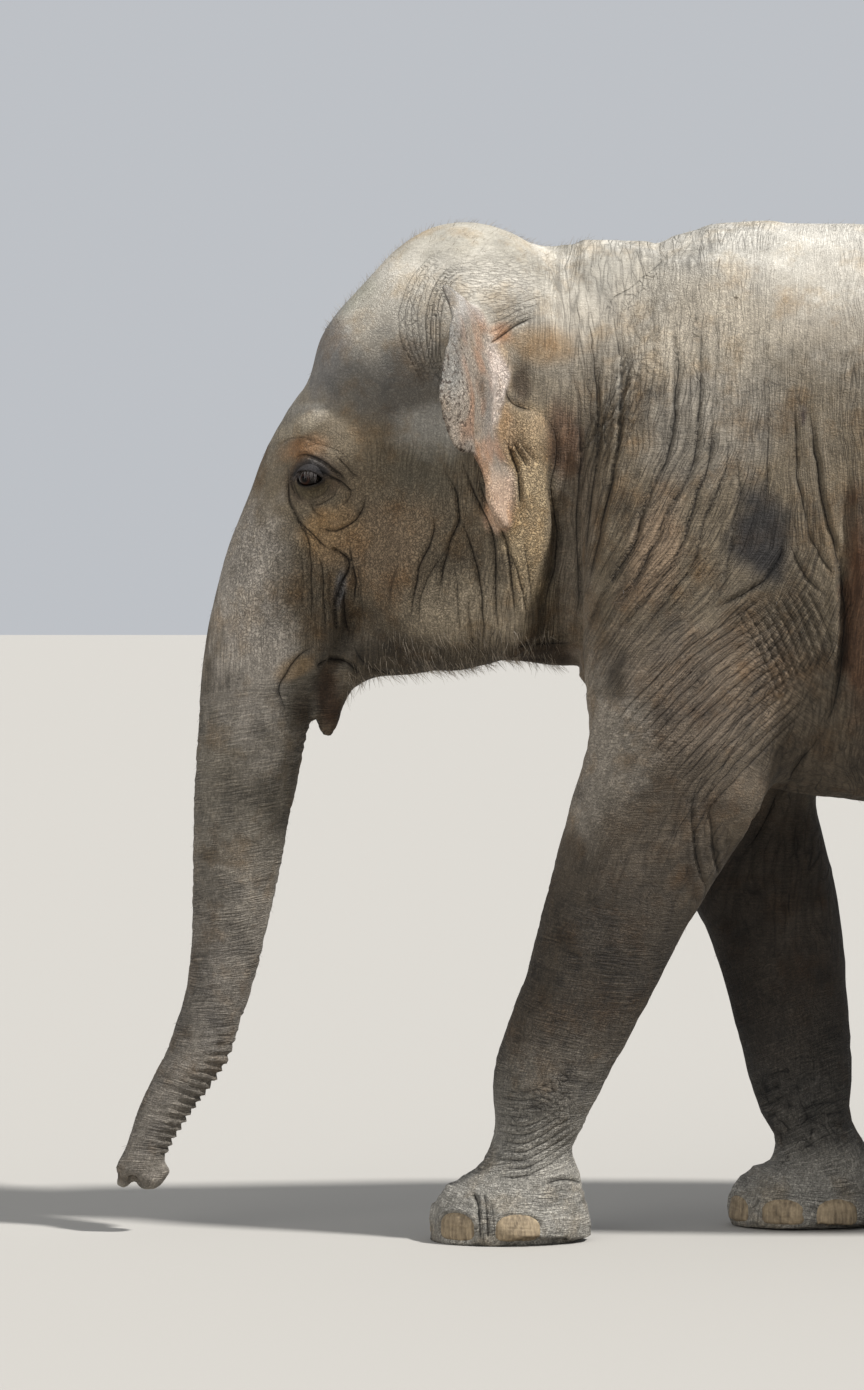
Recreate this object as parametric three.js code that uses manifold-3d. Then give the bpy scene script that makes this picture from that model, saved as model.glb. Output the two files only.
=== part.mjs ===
// A life-size Asian elephant cow, still, in mid-stride with all four feet on the floor.
// Millimetres, +Z up. The head points to -X and the elephant's left side to -Y.
// The body is one blended form made of sweeps and balls, parted by thin cuts into named nodes.
import * as THREE from "three";
import { mergeVertices } from "three/addons/utils/BufferGeometryUtils.js";
import Module from "manifold-3d";

const wasm = await Module();
wasm.setup();

const GAP = 0.3; // clear space left between touching nodes
const SOLE = 0; // level of the flats that the feet stand on
const UNDER = -60; // the legs run on below the floor level before the soles are cut flat
const SIDES = { left: -1, right: 1 };

// ---------------------------------------------------------------- driving sizes

// A station is [x, y, z, half depth in the side view, half width].
const TORSO = [
  [-560, 0, 1742, 594, 285],
  [-455, 0, 1732, 650, 350],
  [-200, 0, 1714, 672, 440],
  [0, 0, 1699, 685, 500],
  [260, 0, 1686, 718, 556],
  [520, 0, 1667, 744, 586],
  [780, 0, 1650, 750, 588],
  [1040, 0, 1640, 724, 560],
  [1280, 0, 1640, 658, 508],
  [1480, 0, 1652, 552, 436],
  [1630, 0, 1668, 410, 345],
  [1720, 0, 1675, 270, 250],
];
const NECK = [
  [-980, 0, 1888, 455, 200],
  [-800, 0, 1848, 506, 215],
  [-644, 0, 1836, 508, 252],
  [-480, 0, 1785, 568, 330],
];
const TRUNK = [
  [-1060, 0, 2010, 210, 205],
  [-1182, 0, 1904, 214, 196],
  [-1274, 0, 1796, 202, 190],
  [-1345, 0, 1668, 187, 182],
  [-1400, 0, 1560, 173, 168],
  [-1443, 0, 1450, 159, 153],
  [-1478, 0, 1340, 147, 140],
  [-1500, 0, 1235, 138, 131],
  [-1512, 0, 1130, 130, 124],
  [-1528, 0, 1010, 118, 112],
  [-1548, 0, 835, 100, 97],
  [-1574, 0, 640, 82, 82],
  [-1596, 0, 545, 76, 75],
  [-1632, 0, 434, 71, 69],
  [-1697, 0, 322, 60, 58],
  [-1749, 0, 220, 49, 50],
  [-1768, 0, 165, 50, 48],
  [-1775, 0, 140, 53, 46],
];
// Masses at the end of the trunk, on the midplane: the finger and its point, the rear lip and the bump
// behind it.
const TIP_BALLS = {
  finger: { centre: [-1808, 0, 140], radii: [20, 26, 36] },
  finger_end: { centre: [-1817, 0, 119], radii: [15, 21, 17] },
  rear_lip: { centre: [-1752, 0, 128], radii: [34, 42, 27] },
  heel: { centre: [-1718, 0, 148], radii: [17, 32, 17] },
};
const JAW = [
  [-1040, 0, 1500, 178, 150],
  [-1150, 0, 1425, 118, 118],
  [-1245, 0, 1368, 66, 92],
  [-1298, 0, 1318, 48, 68],
  [-1318, 0, 1262, 36, 50],
  [-1327, 0, 1212, 27, 36],
  [-1331, 0, 1180, 17, 22],
];
const TAIL = [
  [1560, 0, 1950, 66, 60],
  [1672, 0, 1955, 64, 58],
  [1768, 0, 1868, 55, 50],
  [1822, 0, 1728, 45, 41],
  [1848, 0, 1550, 35, 34],
  [1856, 0, 1340, 28, 27],
  [1860, 0, 1120, 22, 21],
  [1862, 0, 990, 18, 18],
  [1863, 0, 900, 16, 15],
];
const TUFT = [
  [1863, 0, 960, 18, 15],
  [1865, 0, 860, 46, 17],
  [1868, 0, 740, 50, 15],
  [1870, 0, 640, 20, 9],
];

// The legs, from the top down to under the sole: height, how far out from the middle, half depth and
// half width of each station, the line that each side's stations follow, and the degrees of its nails
// round the foot from straight ahead.
const FORELEG = {
  height: [2230, 1897, 1496, 1166, 930, 758, 571, 434, 363, 295, 226, 150, 82, 48, 20, 0, UNDER],
  spread: [110, 250, 300, 290, 262, 240, 215, 200, 193, 188, 184, 180, 178, 177, 177, 177, 177],
  girth: [
    [130, 60], [215, 105], [235, 150], [222, 160], [192, 150], [166, 138], [145, 127], [134, 124],
    [127, 122], [113, 114], [98, 104], [132, 124], [174, 158], [186, 172], [190, 172], [156, 142],
    [156, 142],
  ],
  line: {
    left: [-370, -448, -500, -500, -592, -663, -734, -793, -817, -831, -847, -855, -873, -887, -896,
      -890, -890],
    right: [-370, -448, -490, -440, -340, -272, -230, -208, -198, -186, -168, -155, -166, -176, -185,
      -182, -182],
  },
  nails: { left: [-104, -60, -12, 40, 92], right: [-62, -22, 18, 64, 110] },
};
const HINDLEG = {
  height: [1950, 1650, 1330, 1080, 860, 660, 470, 330, 240, 160, 84, 46, 18, 0, UNDER],
  spread: [150, 280, 330, 320, 295, 270, 245, 228, 218, 212, 210, 210, 210, 210, 210],
  girth: [
    [190, 60], [285, 140], [272, 165], [232, 160], [188, 145], [148, 128], [122, 114], [110, 106],
    [112, 108], [138, 122], [168, 146], [172, 150], [160, 140], [134, 116], [134, 116],
  ],
  line: {
    left: [1330, 1370, 1360, 1300, 1235, 1200, 1190, 1185, 1172, 1150, 1130, 1124, 1126, 1130, 1130],
    right: [1330, 1390, 1410, 1400, 1385, 1400, 1430, 1455, 1450, 1430, 1412, 1407, 1409, 1412, 1412],
  },
  nails: { left: [-70, -24, 22, 66], right: [-66, -22, 24, 70] },
};

// Balls that come in pairs, left and right: centre, radii, and how widely each blends into the rest.
const HEAD_BALLS = {
  crown: { centre: [-1002, 88, 2116], radii: [262, 195, 268], blend: 60 },
  forehead: { centre: [-1125, 82, 2042], radii: [232, 165, 205], blend: 60 },
  temple: { centre: [-925, 95, 1880], radii: [205, 185, 300], blend: 80 },
  cheek: { centre: [-1035, 75, 1605], radii: [225, 175, 275], blend: 70 },
  jowl: { centre: [-895, 150, 1660], radii: [98, 138, 300], blend: 50 },
  brow: { centre: [-1290, 118, 1862], radii: [110, 86, 95], blend: 50 },
  lip_sheath: { centre: [-1392, 98, 1405], radii: [72, 58, 92], blend: 40 },
};

const EYE = { centre: [-1366, 193, 1786], radius: 27 };

// The ear as rows from its top to the lobe: root on the head, blade, bend and rim, on the right side.
const EAR_ROWS = [
  [[-990, 300, 2170], [-1010, 345, 2195], [-1035, 375, 2215], [-1055, 395, 2230]],
  [[-975, 285, 2135], [-1000, 360, 2145], [-1020, 420, 2160], [-1035, 455, 2170]],
  [[-960, 280, 2085], [-990, 380, 2090], [-1020, 480, 2090], [-1045, 540, 2095]],
  [[-935, 270, 2020], [-970, 395, 2020], [-1015, 520, 2020], [-1060, 590, 2025]],
  [[-945, 270, 1955], [-970, 405, 1955], [-1010, 535, 1955], [-1065, 605, 1960]],
  [[-945, 270, 1895], [-970, 390, 1895], [-1005, 520, 1895], [-1050, 590, 1900]],
  [[-940, 265, 1855], [-960, 380, 1855], [-990, 490, 1850], [-1025, 560, 1850]],
  [[-930, 260, 1825], [-945, 345, 1825], [-960, 420, 1825], [-985, 480, 1835]],
  [[-920, 255, 1780], [-930, 330, 1780], [-945, 400, 1780], [-960, 440, 1785]],
  [[-915, 250, 1725], [-925, 310, 1720], [-935, 370, 1725], [-950, 410, 1730]],
  [[-925, 245, 1690], [-920, 290, 1685], [-915, 330, 1680], [-915, 360, 1675]],
];
const EAR_THICK = { root: 30, rim: 10 };

// A nail's half sizes, how deep it is set in the foot and how high its middle is.
const NAIL = { wide: 53, high: 37, deep: 24, sunk: 10, level: 44 };

// ---------------------------------------------------------------- the blended form

const SAMPLES_PER_SPAN = 4;
const TAIL_SIDES = 8;
const TRUNK_SIDES = 12;
const LEG_SIDES = 12;
// The boxes that hold the masses, and the sizes of the cells that their surfaces are worked out on.
const BLOCKS = {
  head: { low: [-1600, -320, 1130], high: [-780, 320, 2400], cell: [76, 78, 86] },
  jaw: { low: [-1400, -320, 1130], high: [-780, 320, 1480], cell: [66, 58, 58] },
  neck: { low: [-780, -420, 1230], high: [-500, 420, 2360], cell: [96, 96, 110] },
  chest: { low: [-780, -560, 980], high: [-40, 560, 2420], cell: [146, 132, 136] },
  barrel: { low: [-60, -640, 860], high: [1010, 640, 2440], cell: [190, 158, 158] },
  rump: { low: [990, -640, 860], high: [1820, 640, 2420], cell: [142, 136, 144] },
};
const LEG_CELLS = { foreleg: [84, 78, 104], hindleg: [72, 70, 96] };
const REACH = 320; // a form is only worked out this near to its own box
const FAR_OFF = 1e4;

// A body length along a line of stations: round or oval in section, and narrower above by taper.
class Sweep {
  constructor(stations, { blend = 100, power = 2, taper = 0, cap = 0.35 } = {}) {
    Object.assign(this, { blend, power, taper, cap });
    const line = new THREE.CatmullRomCurve3(
      stations.map(([x, y, z]) => new THREE.Vector3(x, y, z)), false, "catmullrom", 0.5);
    const girth = new THREE.CatmullRomCurve3(
      stations.map(([, , , deep, wide]) => new THREE.Vector3(deep, wide, 0)), false, "catmullrom", 0.5);
    const count = (stations.length - 1) * SAMPLES_PER_SPAN;
    this.rings = [];
    for (let i = 0; i <= count; i++) {
      const size = girth.getPoint(i / count);
      this.rings.push({ at: line.getPoint(i / count), deep: size.x, wide: size.y });
    }
    this.rings.forEach((ring, i) => {
      const before = this.rings[Math.max(0, i - 1)].at;
      const after = this.rings[Math.min(count, i + 1)].at;
      ring.along = after.clone().sub(before).normalize();
      ring.side = new THREE.Vector3(0, 1, 0).addScaledVector(ring.along, -ring.along.y).normalize();
      ring.up = ring.along.clone().cross(ring.side);
    });
    this.box = new THREE.Box3().setFromPoints(this.rings.map((ring) => ring.at));
    const widest = Math.max(...this.rings.map((ring) => Math.max(ring.deep, ring.wide)));
    this.box.expandByScalar(widest + REACH);
  }

  distance(p) {
    if (!this.box.containsPoint(p)) return FAR_OFF;
    let nearest = Infinity;
    let found = 0;
    let share = 0;
    for (let i = 0; i + 1 < this.rings.length; i++) {
      const a = this.rings[i].at;
      const b = this.rings[i + 1].at;
      const dx = b.x - a.x;
      const dy = b.y - a.y;
      const dz = b.z - a.z;
      const run = ((p.x - a.x) * dx + (p.y - a.y) * dy + (p.z - a.z) * dz) / (dx * dx + dy * dy + dz * dz);
      const t = Math.min(1, Math.max(0, run));
      const gap = (p.x - a.x - t * dx) ** 2 + (p.y - a.y - t * dy) ** 2 + (p.z - a.z - t * dz) ** 2;
      if (gap < nearest) {
        nearest = gap;
        found = i;
        share = t;
      }
    }
    const a = this.rings[found];
    const b = this.rings[found + 1];
    const mix = (name) => a[name].clone().lerp(b[name], share);
    const off = p.clone().sub(mix("at"));
    const deep = a.deep + share * (b.deep - a.deep);
    const up = off.dot(mix("up")) / deep;
    const wide = (a.wide + share * (b.wide - a.wide)) * (1 - this.taper * Math.max(-1, Math.min(1, up)));
    const side = off.dot(mix("side")) / wide;
    const beyond = off.dot(mix("along")) / (Math.min(deep, wide) * this.cap);
    const atEnd = (found === 0 && share === 0) || (found === this.rings.length - 2 && share === 1);
    const across = (Math.abs(up) ** this.power + Math.abs(side) ** this.power) ** (1 / this.power);
    const ratio = atEnd ? Math.hypot(across, beyond) : across;
    return ratio < 1e-3 ? -Math.min(deep, wide) : (ratio - 1) * (off.length() / ratio);
  }

  // The same body length as a solid tube of flat sides, for the slender parts.
  tube(sides) {
    return toSolid(loft(this.rings.filter((_, i) => i % SAMPLES_PER_SPAN === 0).map((ring) =>
      Array.from({ length: sides }, (_, n) => {
        const turn = (2 * Math.PI * n) / sides;
        return ring.at.clone()
          .addScaledVector(ring.side, ring.wide * Math.cos(turn))
          .addScaledVector(ring.up, ring.deep * Math.sin(turn));
      }))));
  }
}

// An oval mass, and its like on the other side.
class Ball {
  constructor({ centre, radii, blend }) {
    this.centre = new THREE.Vector3(...centre);
    this.radii = new THREE.Vector3(...radii);
    this.blend = blend;
  }

  distance(p) {
    const off = new THREE.Vector3(p.x, Math.abs(p.y), p.z).sub(this.centre);
    const ratio = off.clone().divide(this.radii).length();
    return ratio < 1e-3 ? -Math.min(...this.radii) : (ratio - 1) * (off.length() / ratio);
  }
}

// Joins two distances so that the forms flow into each other over a width.
function blended(a, b, width) {
  const near = Math.max(width - Math.abs(a - b), 0) / width;
  return Math.min(a, b) - (near * near * width) / 4;
}

function legForm(side, { line, spread, height, girth }) {
  const stations = height.map((z, i) => [line[side][i], SIDES[side] * spread[i], z, ...girth[i]]);
  return new Sweep(stations, { blend: 130 });
}

const trunkForm = new Sweep(TRUNK, { blend: 70 });
const tailForm = new Sweep(TAIL);
const tuftForm = new Sweep(TUFT);
const legForms = {
  foreleg_left: legForm("left", FORELEG),
  foreleg_right: legForm("right", FORELEG),
  hindleg_left: legForm("left", HINDLEG),
  hindleg_right: legForm("right", HINDLEG),
};
const forms = [
  new Sweep(TORSO, { blend: 120, power: 2.15, taper: 0.16 }),
  new Sweep(NECK, { blend: 110, power: 2.1, taper: 0.12 }),
  trunkForm,
  ...Object.values(HEAD_BALLS).map((ball) => new Ball(ball)),
  new Sweep(JAW, { blend: 30 }),
  ...Object.values(legForms),
];

function distanceTo(parts) {
  return (p) => parts.reduce((sum, form) => blended(sum, form.distance(p), form.blend), FAR_OFF);
}

// ---------------------------------------------------------------- from a form to a solid

// A closed mesh of where distance is below zero in a box, by surface nets: one vertex for each cell
// that the surface passes through, and one quad for each grid edge that it crosses.
function surfaceOf(distance, low, high, cell) {
  const count = low.map((v, i) => Math.ceil((high[i] - v) / cell[i]) + 1);
  const at = (i, j, k) => (k * count[1] + j) * count[0] + i;
  const values = new Float64Array(count[0] * count[1] * count[2]);
  const p = new THREE.Vector3();
  for (let k = 0; k < count[2]; k++)
    for (let j = 0; j < count[1]; j++)
      for (let i = 0; i < count[0]; i++) {
        const edge = [i, j, k].some((v, axis) => v === 0 || v === count[axis] - 1);
        p.set(low[0] + i * cell[0], low[1] + j * cell[1], low[2] + k * cell[2]);
        values[at(i, j, k)] = edge ? cell[0] : distance(p);
      }
  const corners = [0, 1, 2, 3, 4, 5, 6, 7].map((c) => [c & 1, (c >> 1) & 1, c >> 2]);
  const edges = corners.flatMap((_, n) =>
    [1, 2, 4].filter((bit) => !(n & bit)).map((bit) => [n, n | bit]));
  const vertexOf = new Map();
  const points = [];
  for (let k = 0; k + 1 < count[2]; k++)
    for (let j = 0; j + 1 < count[1]; j++)
      for (let i = 0; i + 1 < count[0]; i++) {
        const v = corners.map(([a, b, c]) => values[at(i + a, j + b, k + c)]);
        const sum = [0, 0, 0];
        let crossed = 0;
        for (const [a, b] of edges) {
          if (v[a] < 0 === v[b] < 0) continue;
          const t = v[a] / (v[a] - v[b]);
          sum.forEach((_, axis) => {
            sum[axis] += corners[a][axis] + t * (corners[b][axis] - corners[a][axis]);
          });
          crossed++;
        }
        if (!crossed) continue;
        vertexOf.set(at(i, j, k), points.length / 3);
        [i, j, k].forEach((n, axis) => points.push(low[axis] + (n + sum[axis] / crossed) * cell[axis]));
      }
  const steps = [at(1, 0, 0), at(0, 1, 0), at(0, 0, 1)];
  const index = [];
  for (let k = 0; k + 1 < count[2]; k++)
    for (let j = 0; j + 1 < count[1]; j++)
      for (let i = 0; i + 1 < count[0]; i++)
        for (let axis = 0; axis < 3; axis++) {
          const here = at(i, j, k);
          const inside = values[here] < 0;
          if (inside === values[here + steps[axis]] < 0) continue;
          const u = steps[(axis + 1) % 3];
          const w = steps[(axis + 2) % 3];
          const quad = [here - u - w, here - w, here, here - u].map((n) => vertexOf.get(n));
          if (!inside) quad.reverse();
          index.push(quad[0], quad[1], quad[2], quad[0], quad[2], quad[3]);
        }
  const geometry = new THREE.BufferGeometry();
  geometry.setAttribute("position", new THREE.Float32BufferAttribute(points, 3));
  return geometry.setIndex(index);
}

function toSolid(geometry) {
  const bare = geometry.clone();
  bare.deleteAttribute("normal");
  bare.deleteAttribute("uv");
  const merged = mergeVertices(bare, 1e-3);
  return new wasm.Manifold(new wasm.Mesh({
    numProp: 3,
    vertProperties: new Float32Array(merged.attributes.position.array),
    triVerts: new Uint32Array(merged.index.array),
  }));
}

// The solid's mesh on a grid of hundredths, where points that a cut left on top of each other are one.
function toGeometry(solid) {
  const mesh = solid.getMesh();
  const snapped = mesh.vertProperties.map((v) => Math.round(v * 100) / 100);
  const loose = new THREE.BufferGeometry();
  loose.setAttribute("position", new THREE.BufferAttribute(snapped, 3));
  loose.setIndex(new THREE.BufferAttribute(mesh.triVerts, 1));
  const geometry = mergeVertices(loose, 1e-3);
  const corners = Array.from(geometry.index.array);
  const kept = [];
  for (let i = 0; i < corners.length; i += 3) {
    const triangle = corners.slice(i, i + 3);
    if (new Set(triangle).size === 3) kept.push(...triangle);
  }
  geometry.setIndex(kept);
  geometry.computeVertexNormals();
  return geometry;
}

// A cut is a plane through a point. Its direction points to the side that is kept.
class Cut {
  constructor(point, direction) {
    this.point = new THREE.Vector3(...point);
    this.direction = new THREE.Vector3(...direction).normalize();
  }

  get flipped() {
    return new Cut(this.point.toArray(), this.direction.clone().negate().toArray());
  }

  keep(solid, inset = GAP / 2) {
    return solid.trimByPlane(this.direction.toArray(), this.direction.dot(this.point) + inset);
  }
}

const cuts = {
  above_floor: new Cut([0, 0, SOLE - GAP / 2], [0, 0, 1]),
  trunk_root: new Cut([-1490, 0, 1300], [-0.12, 0, -1]),
  behind_trunk: new Cut([-1368, 0, 1300], [1, 0, 0.08]),
  trunk_mid: new Cut([-1548, 0, 835], [-0.12, 0, -1]),
  trunk_low: new Cut([-1630, 0, 434], [-0.4, 0, -0.9]),
  mouth: new Cut([-1322, 0, 1372], [0.17, 0, -1]),
  nape: new Cut([-785, 0, 1800], [1, 0, 0]),
  collar: new Cut([-560, 0, 2334], [0.986, 0, -0.168]),
  girth: new Cut([-50, 0, 1700], [1, 0, 0]),
  loin: new Cut([1000, 0, 1700], [1, 0, 0]),
  elbow: new Cut([0, 0, 1000], [0, 0, -1]),
  wrist: new Cut([0, 0, 430], [0, 0, -1]),
  fetlock: new Cut([0, 0, 185], [0, 0, -1]),
  stifle: new Cut([0, 0, 868], [0, 0, -1]),
  hock: new Cut([0, 0, 470], [0, 0, -1]),
  hind_fetlock: new Cut([0, 0, 200], [0, 0, -1]),
  tuft_root: new Cut([1863, 0, 905], [0, 0, -1]),
};

// The forms' solid in a box, with cells of a size, on the kept sides of some cuts.
function piece({ low, high, cell }, kept, parts = forms) {
  const from = low.map((v, i) => v - 2 * cell[i]);
  const to = high.map((v, i) => v + 2 * cell[i]);
  return kept.reduce((solid, cut) => cut.keep(solid), toSolid(surfaceOf(distanceTo(parts), from, to, cell)));
}

// All the space on the kept side of some cuts, with the clear space round it.
function region(...kept) {
  const space = toSolid(new THREE.BoxGeometry(8000, 8000, 8000));
  return kept.reduce((solid, cut) => cut.keep(solid, -GAP / 2), space);
}

function without(solid, ...others) {
  return others.reduce((left, other) => left.subtract(other), solid);
}

// The largest body of a solid, so that no crumb is left by a cut.
function main(solid) {
  const bodies = solid.decompose();
  return bodies.sort((a, b) => b.volume() - a.volume())[0];
}

function oval(centre, radii, turn = 0, around = 6, rings = 4) {
  const geometry = new THREE.SphereGeometry(1, around, rings);
  geometry.scale(...radii);
  geometry.rotateZ(turn);
  geometry.translate(...centre);
  return toSolid(geometry);
}

// The ear as a thin bent sheet: closed rings of points down its rows, front face then back face.
function earGeometry(side) {
  const across = EAR_ROWS[0].length - 1;
  const rowCurves = [0, 1, 2, 3].map((n) => new THREE.CatmullRomCurve3(
    EAR_ROWS.map((row) => new THREE.Vector3(...row[n])), false, "catmullrom", 0.5));
  const levels = EAR_ROWS.length - 1;
  const steps = across + 1;
  const middle = (i, j) => {
    const row = new THREE.CatmullRomCurve3(
      rowCurves.map((curve) => curve.getPoint(i / levels)), false, "catmullrom", 0.5);
    return row.getPoint(j / steps);
  };
  const points = [];
  for (let i = 0; i <= levels; i++) {
    const front = [];
    const back = [];
    for (let j = 0; j <= steps; j++) {
      const down = middle(Math.min(levels, i + 1), j).sub(middle(Math.max(0, i - 1), j));
      const out = middle(i, Math.min(steps, j + 1)).sub(middle(i, Math.max(0, j - 1)));
      const normal = down.cross(out).normalize();
      const thick = THREE.MathUtils.lerp(EAR_THICK.root, EAR_THICK.rim, j / steps) / 2;
      const at = middle(i, j);
      front.push(at.clone().addScaledVector(normal, thick));
      back.push(at.clone().addScaledVector(normal, -thick));
    }
    points.push([...front, ...back.reverse()]);
  }
  if (side > 0) return loft(points.map((ring) => ring.reverse()));
  return loft(points.map((ring) => ring.map((p) => new THREE.Vector3(p.x, -p.y, p.z))));
}

// A closed skin over rings of equal count, with a fan over each end. The rings turn
// anticlockwise about the way they are passed through.
function loft(rings) {
  const size = rings[0].length;
  const position = rings.flat().flatMap((p) => p.toArray());
  const index = [];
  for (let i = 0; i + 1 < rings.length; i++)
    for (let j = 0; j < size; j++) {
      const a = i * size + j;
      const b = i * size + ((j + 1) % size);
      index.push(a, b, a + size, b, b + size, a + size);
    }
  const last = (rings.length - 1) * size;
  for (let j = 1; j + 1 < size; j++) {
    index.push(0, j + 1, j);
    index.push(last, last + j, last + j + 1);
  }
  const geometry = new THREE.BufferGeometry();
  geometry.setAttribute("position", new THREE.Float32BufferAttribute(position, 3));
  return geometry.setIndex(index);
}

// ---------------------------------------------------------------- nodes

const hide = new THREE.MeshStandardMaterial({ color: 0x8b8378, roughness: 0.9, metalness: 0 });
const earHide = new THREE.MeshStandardMaterial({ color: 0xb39c8c, roughness: 0.88, metalness: 0 });
const horn = new THREE.MeshStandardMaterial({ color: 0xa08a6a, roughness: 0.7, metalness: 0 });
const glassy = new THREE.MeshStandardMaterial({ color: 0x2a1a12, roughness: 0.12, metalness: 0 });
const bristle = new THREE.MeshStandardMaterial({ color: 0x1e1a17, roughness: 0.6, metalness: 0 });

const elephant = new THREE.Group();

function add(name, solid, material) {
  const mesh = new THREE.Mesh(toGeometry(main(solid)), material);
  mesh.name = name;
  elephant.add(mesh);
}

function addTrunk() {
  const { trunk_root, behind_trunk, trunk_mid, trunk_low } = cuts;
  const tube = trunkForm.tube(TRUNK_SIDES);
  const keep = (...kept) => kept.reduce((solid, cut) => cut.keep(solid), tube);
  add("trunk_upper", keep(trunk_root, behind_trunk.flipped, trunk_mid.flipped), hide);
  add("trunk_middle", keep(trunk_mid, trunk_low.flipped), hide);
  const lips = Object.values(TIP_BALLS).map(({ centre, radii }) => oval(centre, radii));
  add("trunk_tip", lips.reduce((tip, lip) => tip.add(lip), keep(trunk_low)), hide);
}

function addHead() {
  const { trunk_root, behind_trunk, mouth, nape } = cuts;
  const whole = piece(BLOCKS.head, [nape.flipped]);
  const head = without(whole, region(trunk_root, behind_trunk.flipped), region(mouth, behind_trunk));
  const jaw = piece(BLOCKS.jaw, [mouth, behind_trunk, nape.flipped]);
  const sockets = Object.values(SIDES).map((side) =>
    oval([EYE.centre[0], side * EYE.centre[1], EYE.centre[2]], Array(3).fill(EYE.radius + GAP), 0, 8, 6));
  add("head", without(head, ...sockets), hide);
  add("jaw", jaw, hide);
  for (const [name, side] of Object.entries(SIDES)) {
    add("eye_" + name, oval([EYE.centre[0], side * EYE.centre[1], EYE.centre[2]],
      Array(3).fill(EYE.radius), 0, 8, 6), glassy);
    const ear = without(toSolid(earGeometry(side)), head).translate([0, side * 2 * GAP, 0]);
    add("ear_" + name, ear, earHide);
  }
}

function addTorso() {
  const { nape, collar, girth, loin, elbow, stifle, tuft_root } = cuts;
  add("neck", piece(BLOCKS.neck, [nape, collar.flipped]), hide);
  add("chest", piece(BLOCKS.chest, [collar, girth.flipped, elbow.flipped]), hide);
  add("barrel", piece(BLOCKS.barrel, [girth, loin.flipped, stifle.flipped]), hide);
  const rump = piece(BLOCKS.rump, [loin, stifle.flipped]);
  add("rump", rump, hide);
  const tail = without(tuft_root.flipped.keep(tailForm.tube(TAIL_SIDES)), rump);
  add("tail", tail.translate([2 * GAP, 0, 0]), hide);
  add("tail_tuft", tuft_root.keep(tuftForm.tube(TAIL_SIDES)), bristle);
}

// The nails round the front of a foot whose girth at nail level is that of one station.
function nailMakers(centre, deep, wide, angles) {
  return angles.map((degrees) => {
    const turn = THREE.MathUtils.degToRad(degrees);
    const reach = (deep * wide) / Math.hypot(wide * Math.cos(turn), deep * Math.sin(turn)) - NAIL.sunk;
    const at = [centre.x - reach * Math.cos(turn), centre.y - reach * Math.sin(turn), NAIL.level];
    return (extra) => oval(at, [NAIL.deep + extra, NAIL.wide + extra, NAIL.high + extra], turn);
  });
}

function addLeg(name, side, plan, joints, cell) {
  const [shoulder, middle, low] = joints;
  const form = legForms[name];
  const { line, spread, height, girth, nails } = plan;
  const reach = form.box.clone().expandByScalar(-REACH);
  const others = Object.values(legForms).filter((other) => other !== form);
  const block = {
    low: [reach.min.x, reach.min.y, middle.point.z],
    high: [reach.max.x, reach.max.y, shoulder.point.z],
    cell,
  };
  const upper = piece(block, [shoulder, middle.flipped], forms.filter((part) => !others.includes(part)));
  add(name + "_upper", upper, hide);
  const tube = form.tube(LEG_SIDES);
  add(name + "_lower", low.flipped.keep(middle.keep(tube)), hide);
  const widest = height.length - 4;
  const centre = new THREE.Vector3(line[side][widest], SIDES[side] * spread[widest], 0);
  const bed = nailMakers(centre, ...girth[widest], nails[side]);
  const foot = cuts.above_floor.keep(low.keep(tube));
  add(name + "_foot", without(foot, ...bed.map((make) => make(GAP))), hide);
  bed.forEach((make, i) => add(name + "_nail_" + (i + 1), make(0), horn));
}

function addLegs() {
  for (const side of Object.keys(SIDES)) {
    addLeg("foreleg_" + side, side, FORELEG, [cuts.elbow, cuts.wrist, cuts.fetlock], LEG_CELLS.foreleg);
    addLeg("hindleg_" + side, side, HINDLEG, [cuts.stifle, cuts.hock, cuts.hind_fetlock],
      LEG_CELLS.hindleg);
  }
}

addTrunk();
addHead();
addTorso();
addLegs();

// The origin is on the floor, under the middle of the whole animal.
const whole = new THREE.Box3().setFromObject(elephant);
elephant.position.set(-(whole.min.x + whole.max.x) / 2, -(whole.min.y + whole.max.y) / 2, -whole.min.z);

export default elephant;
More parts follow.
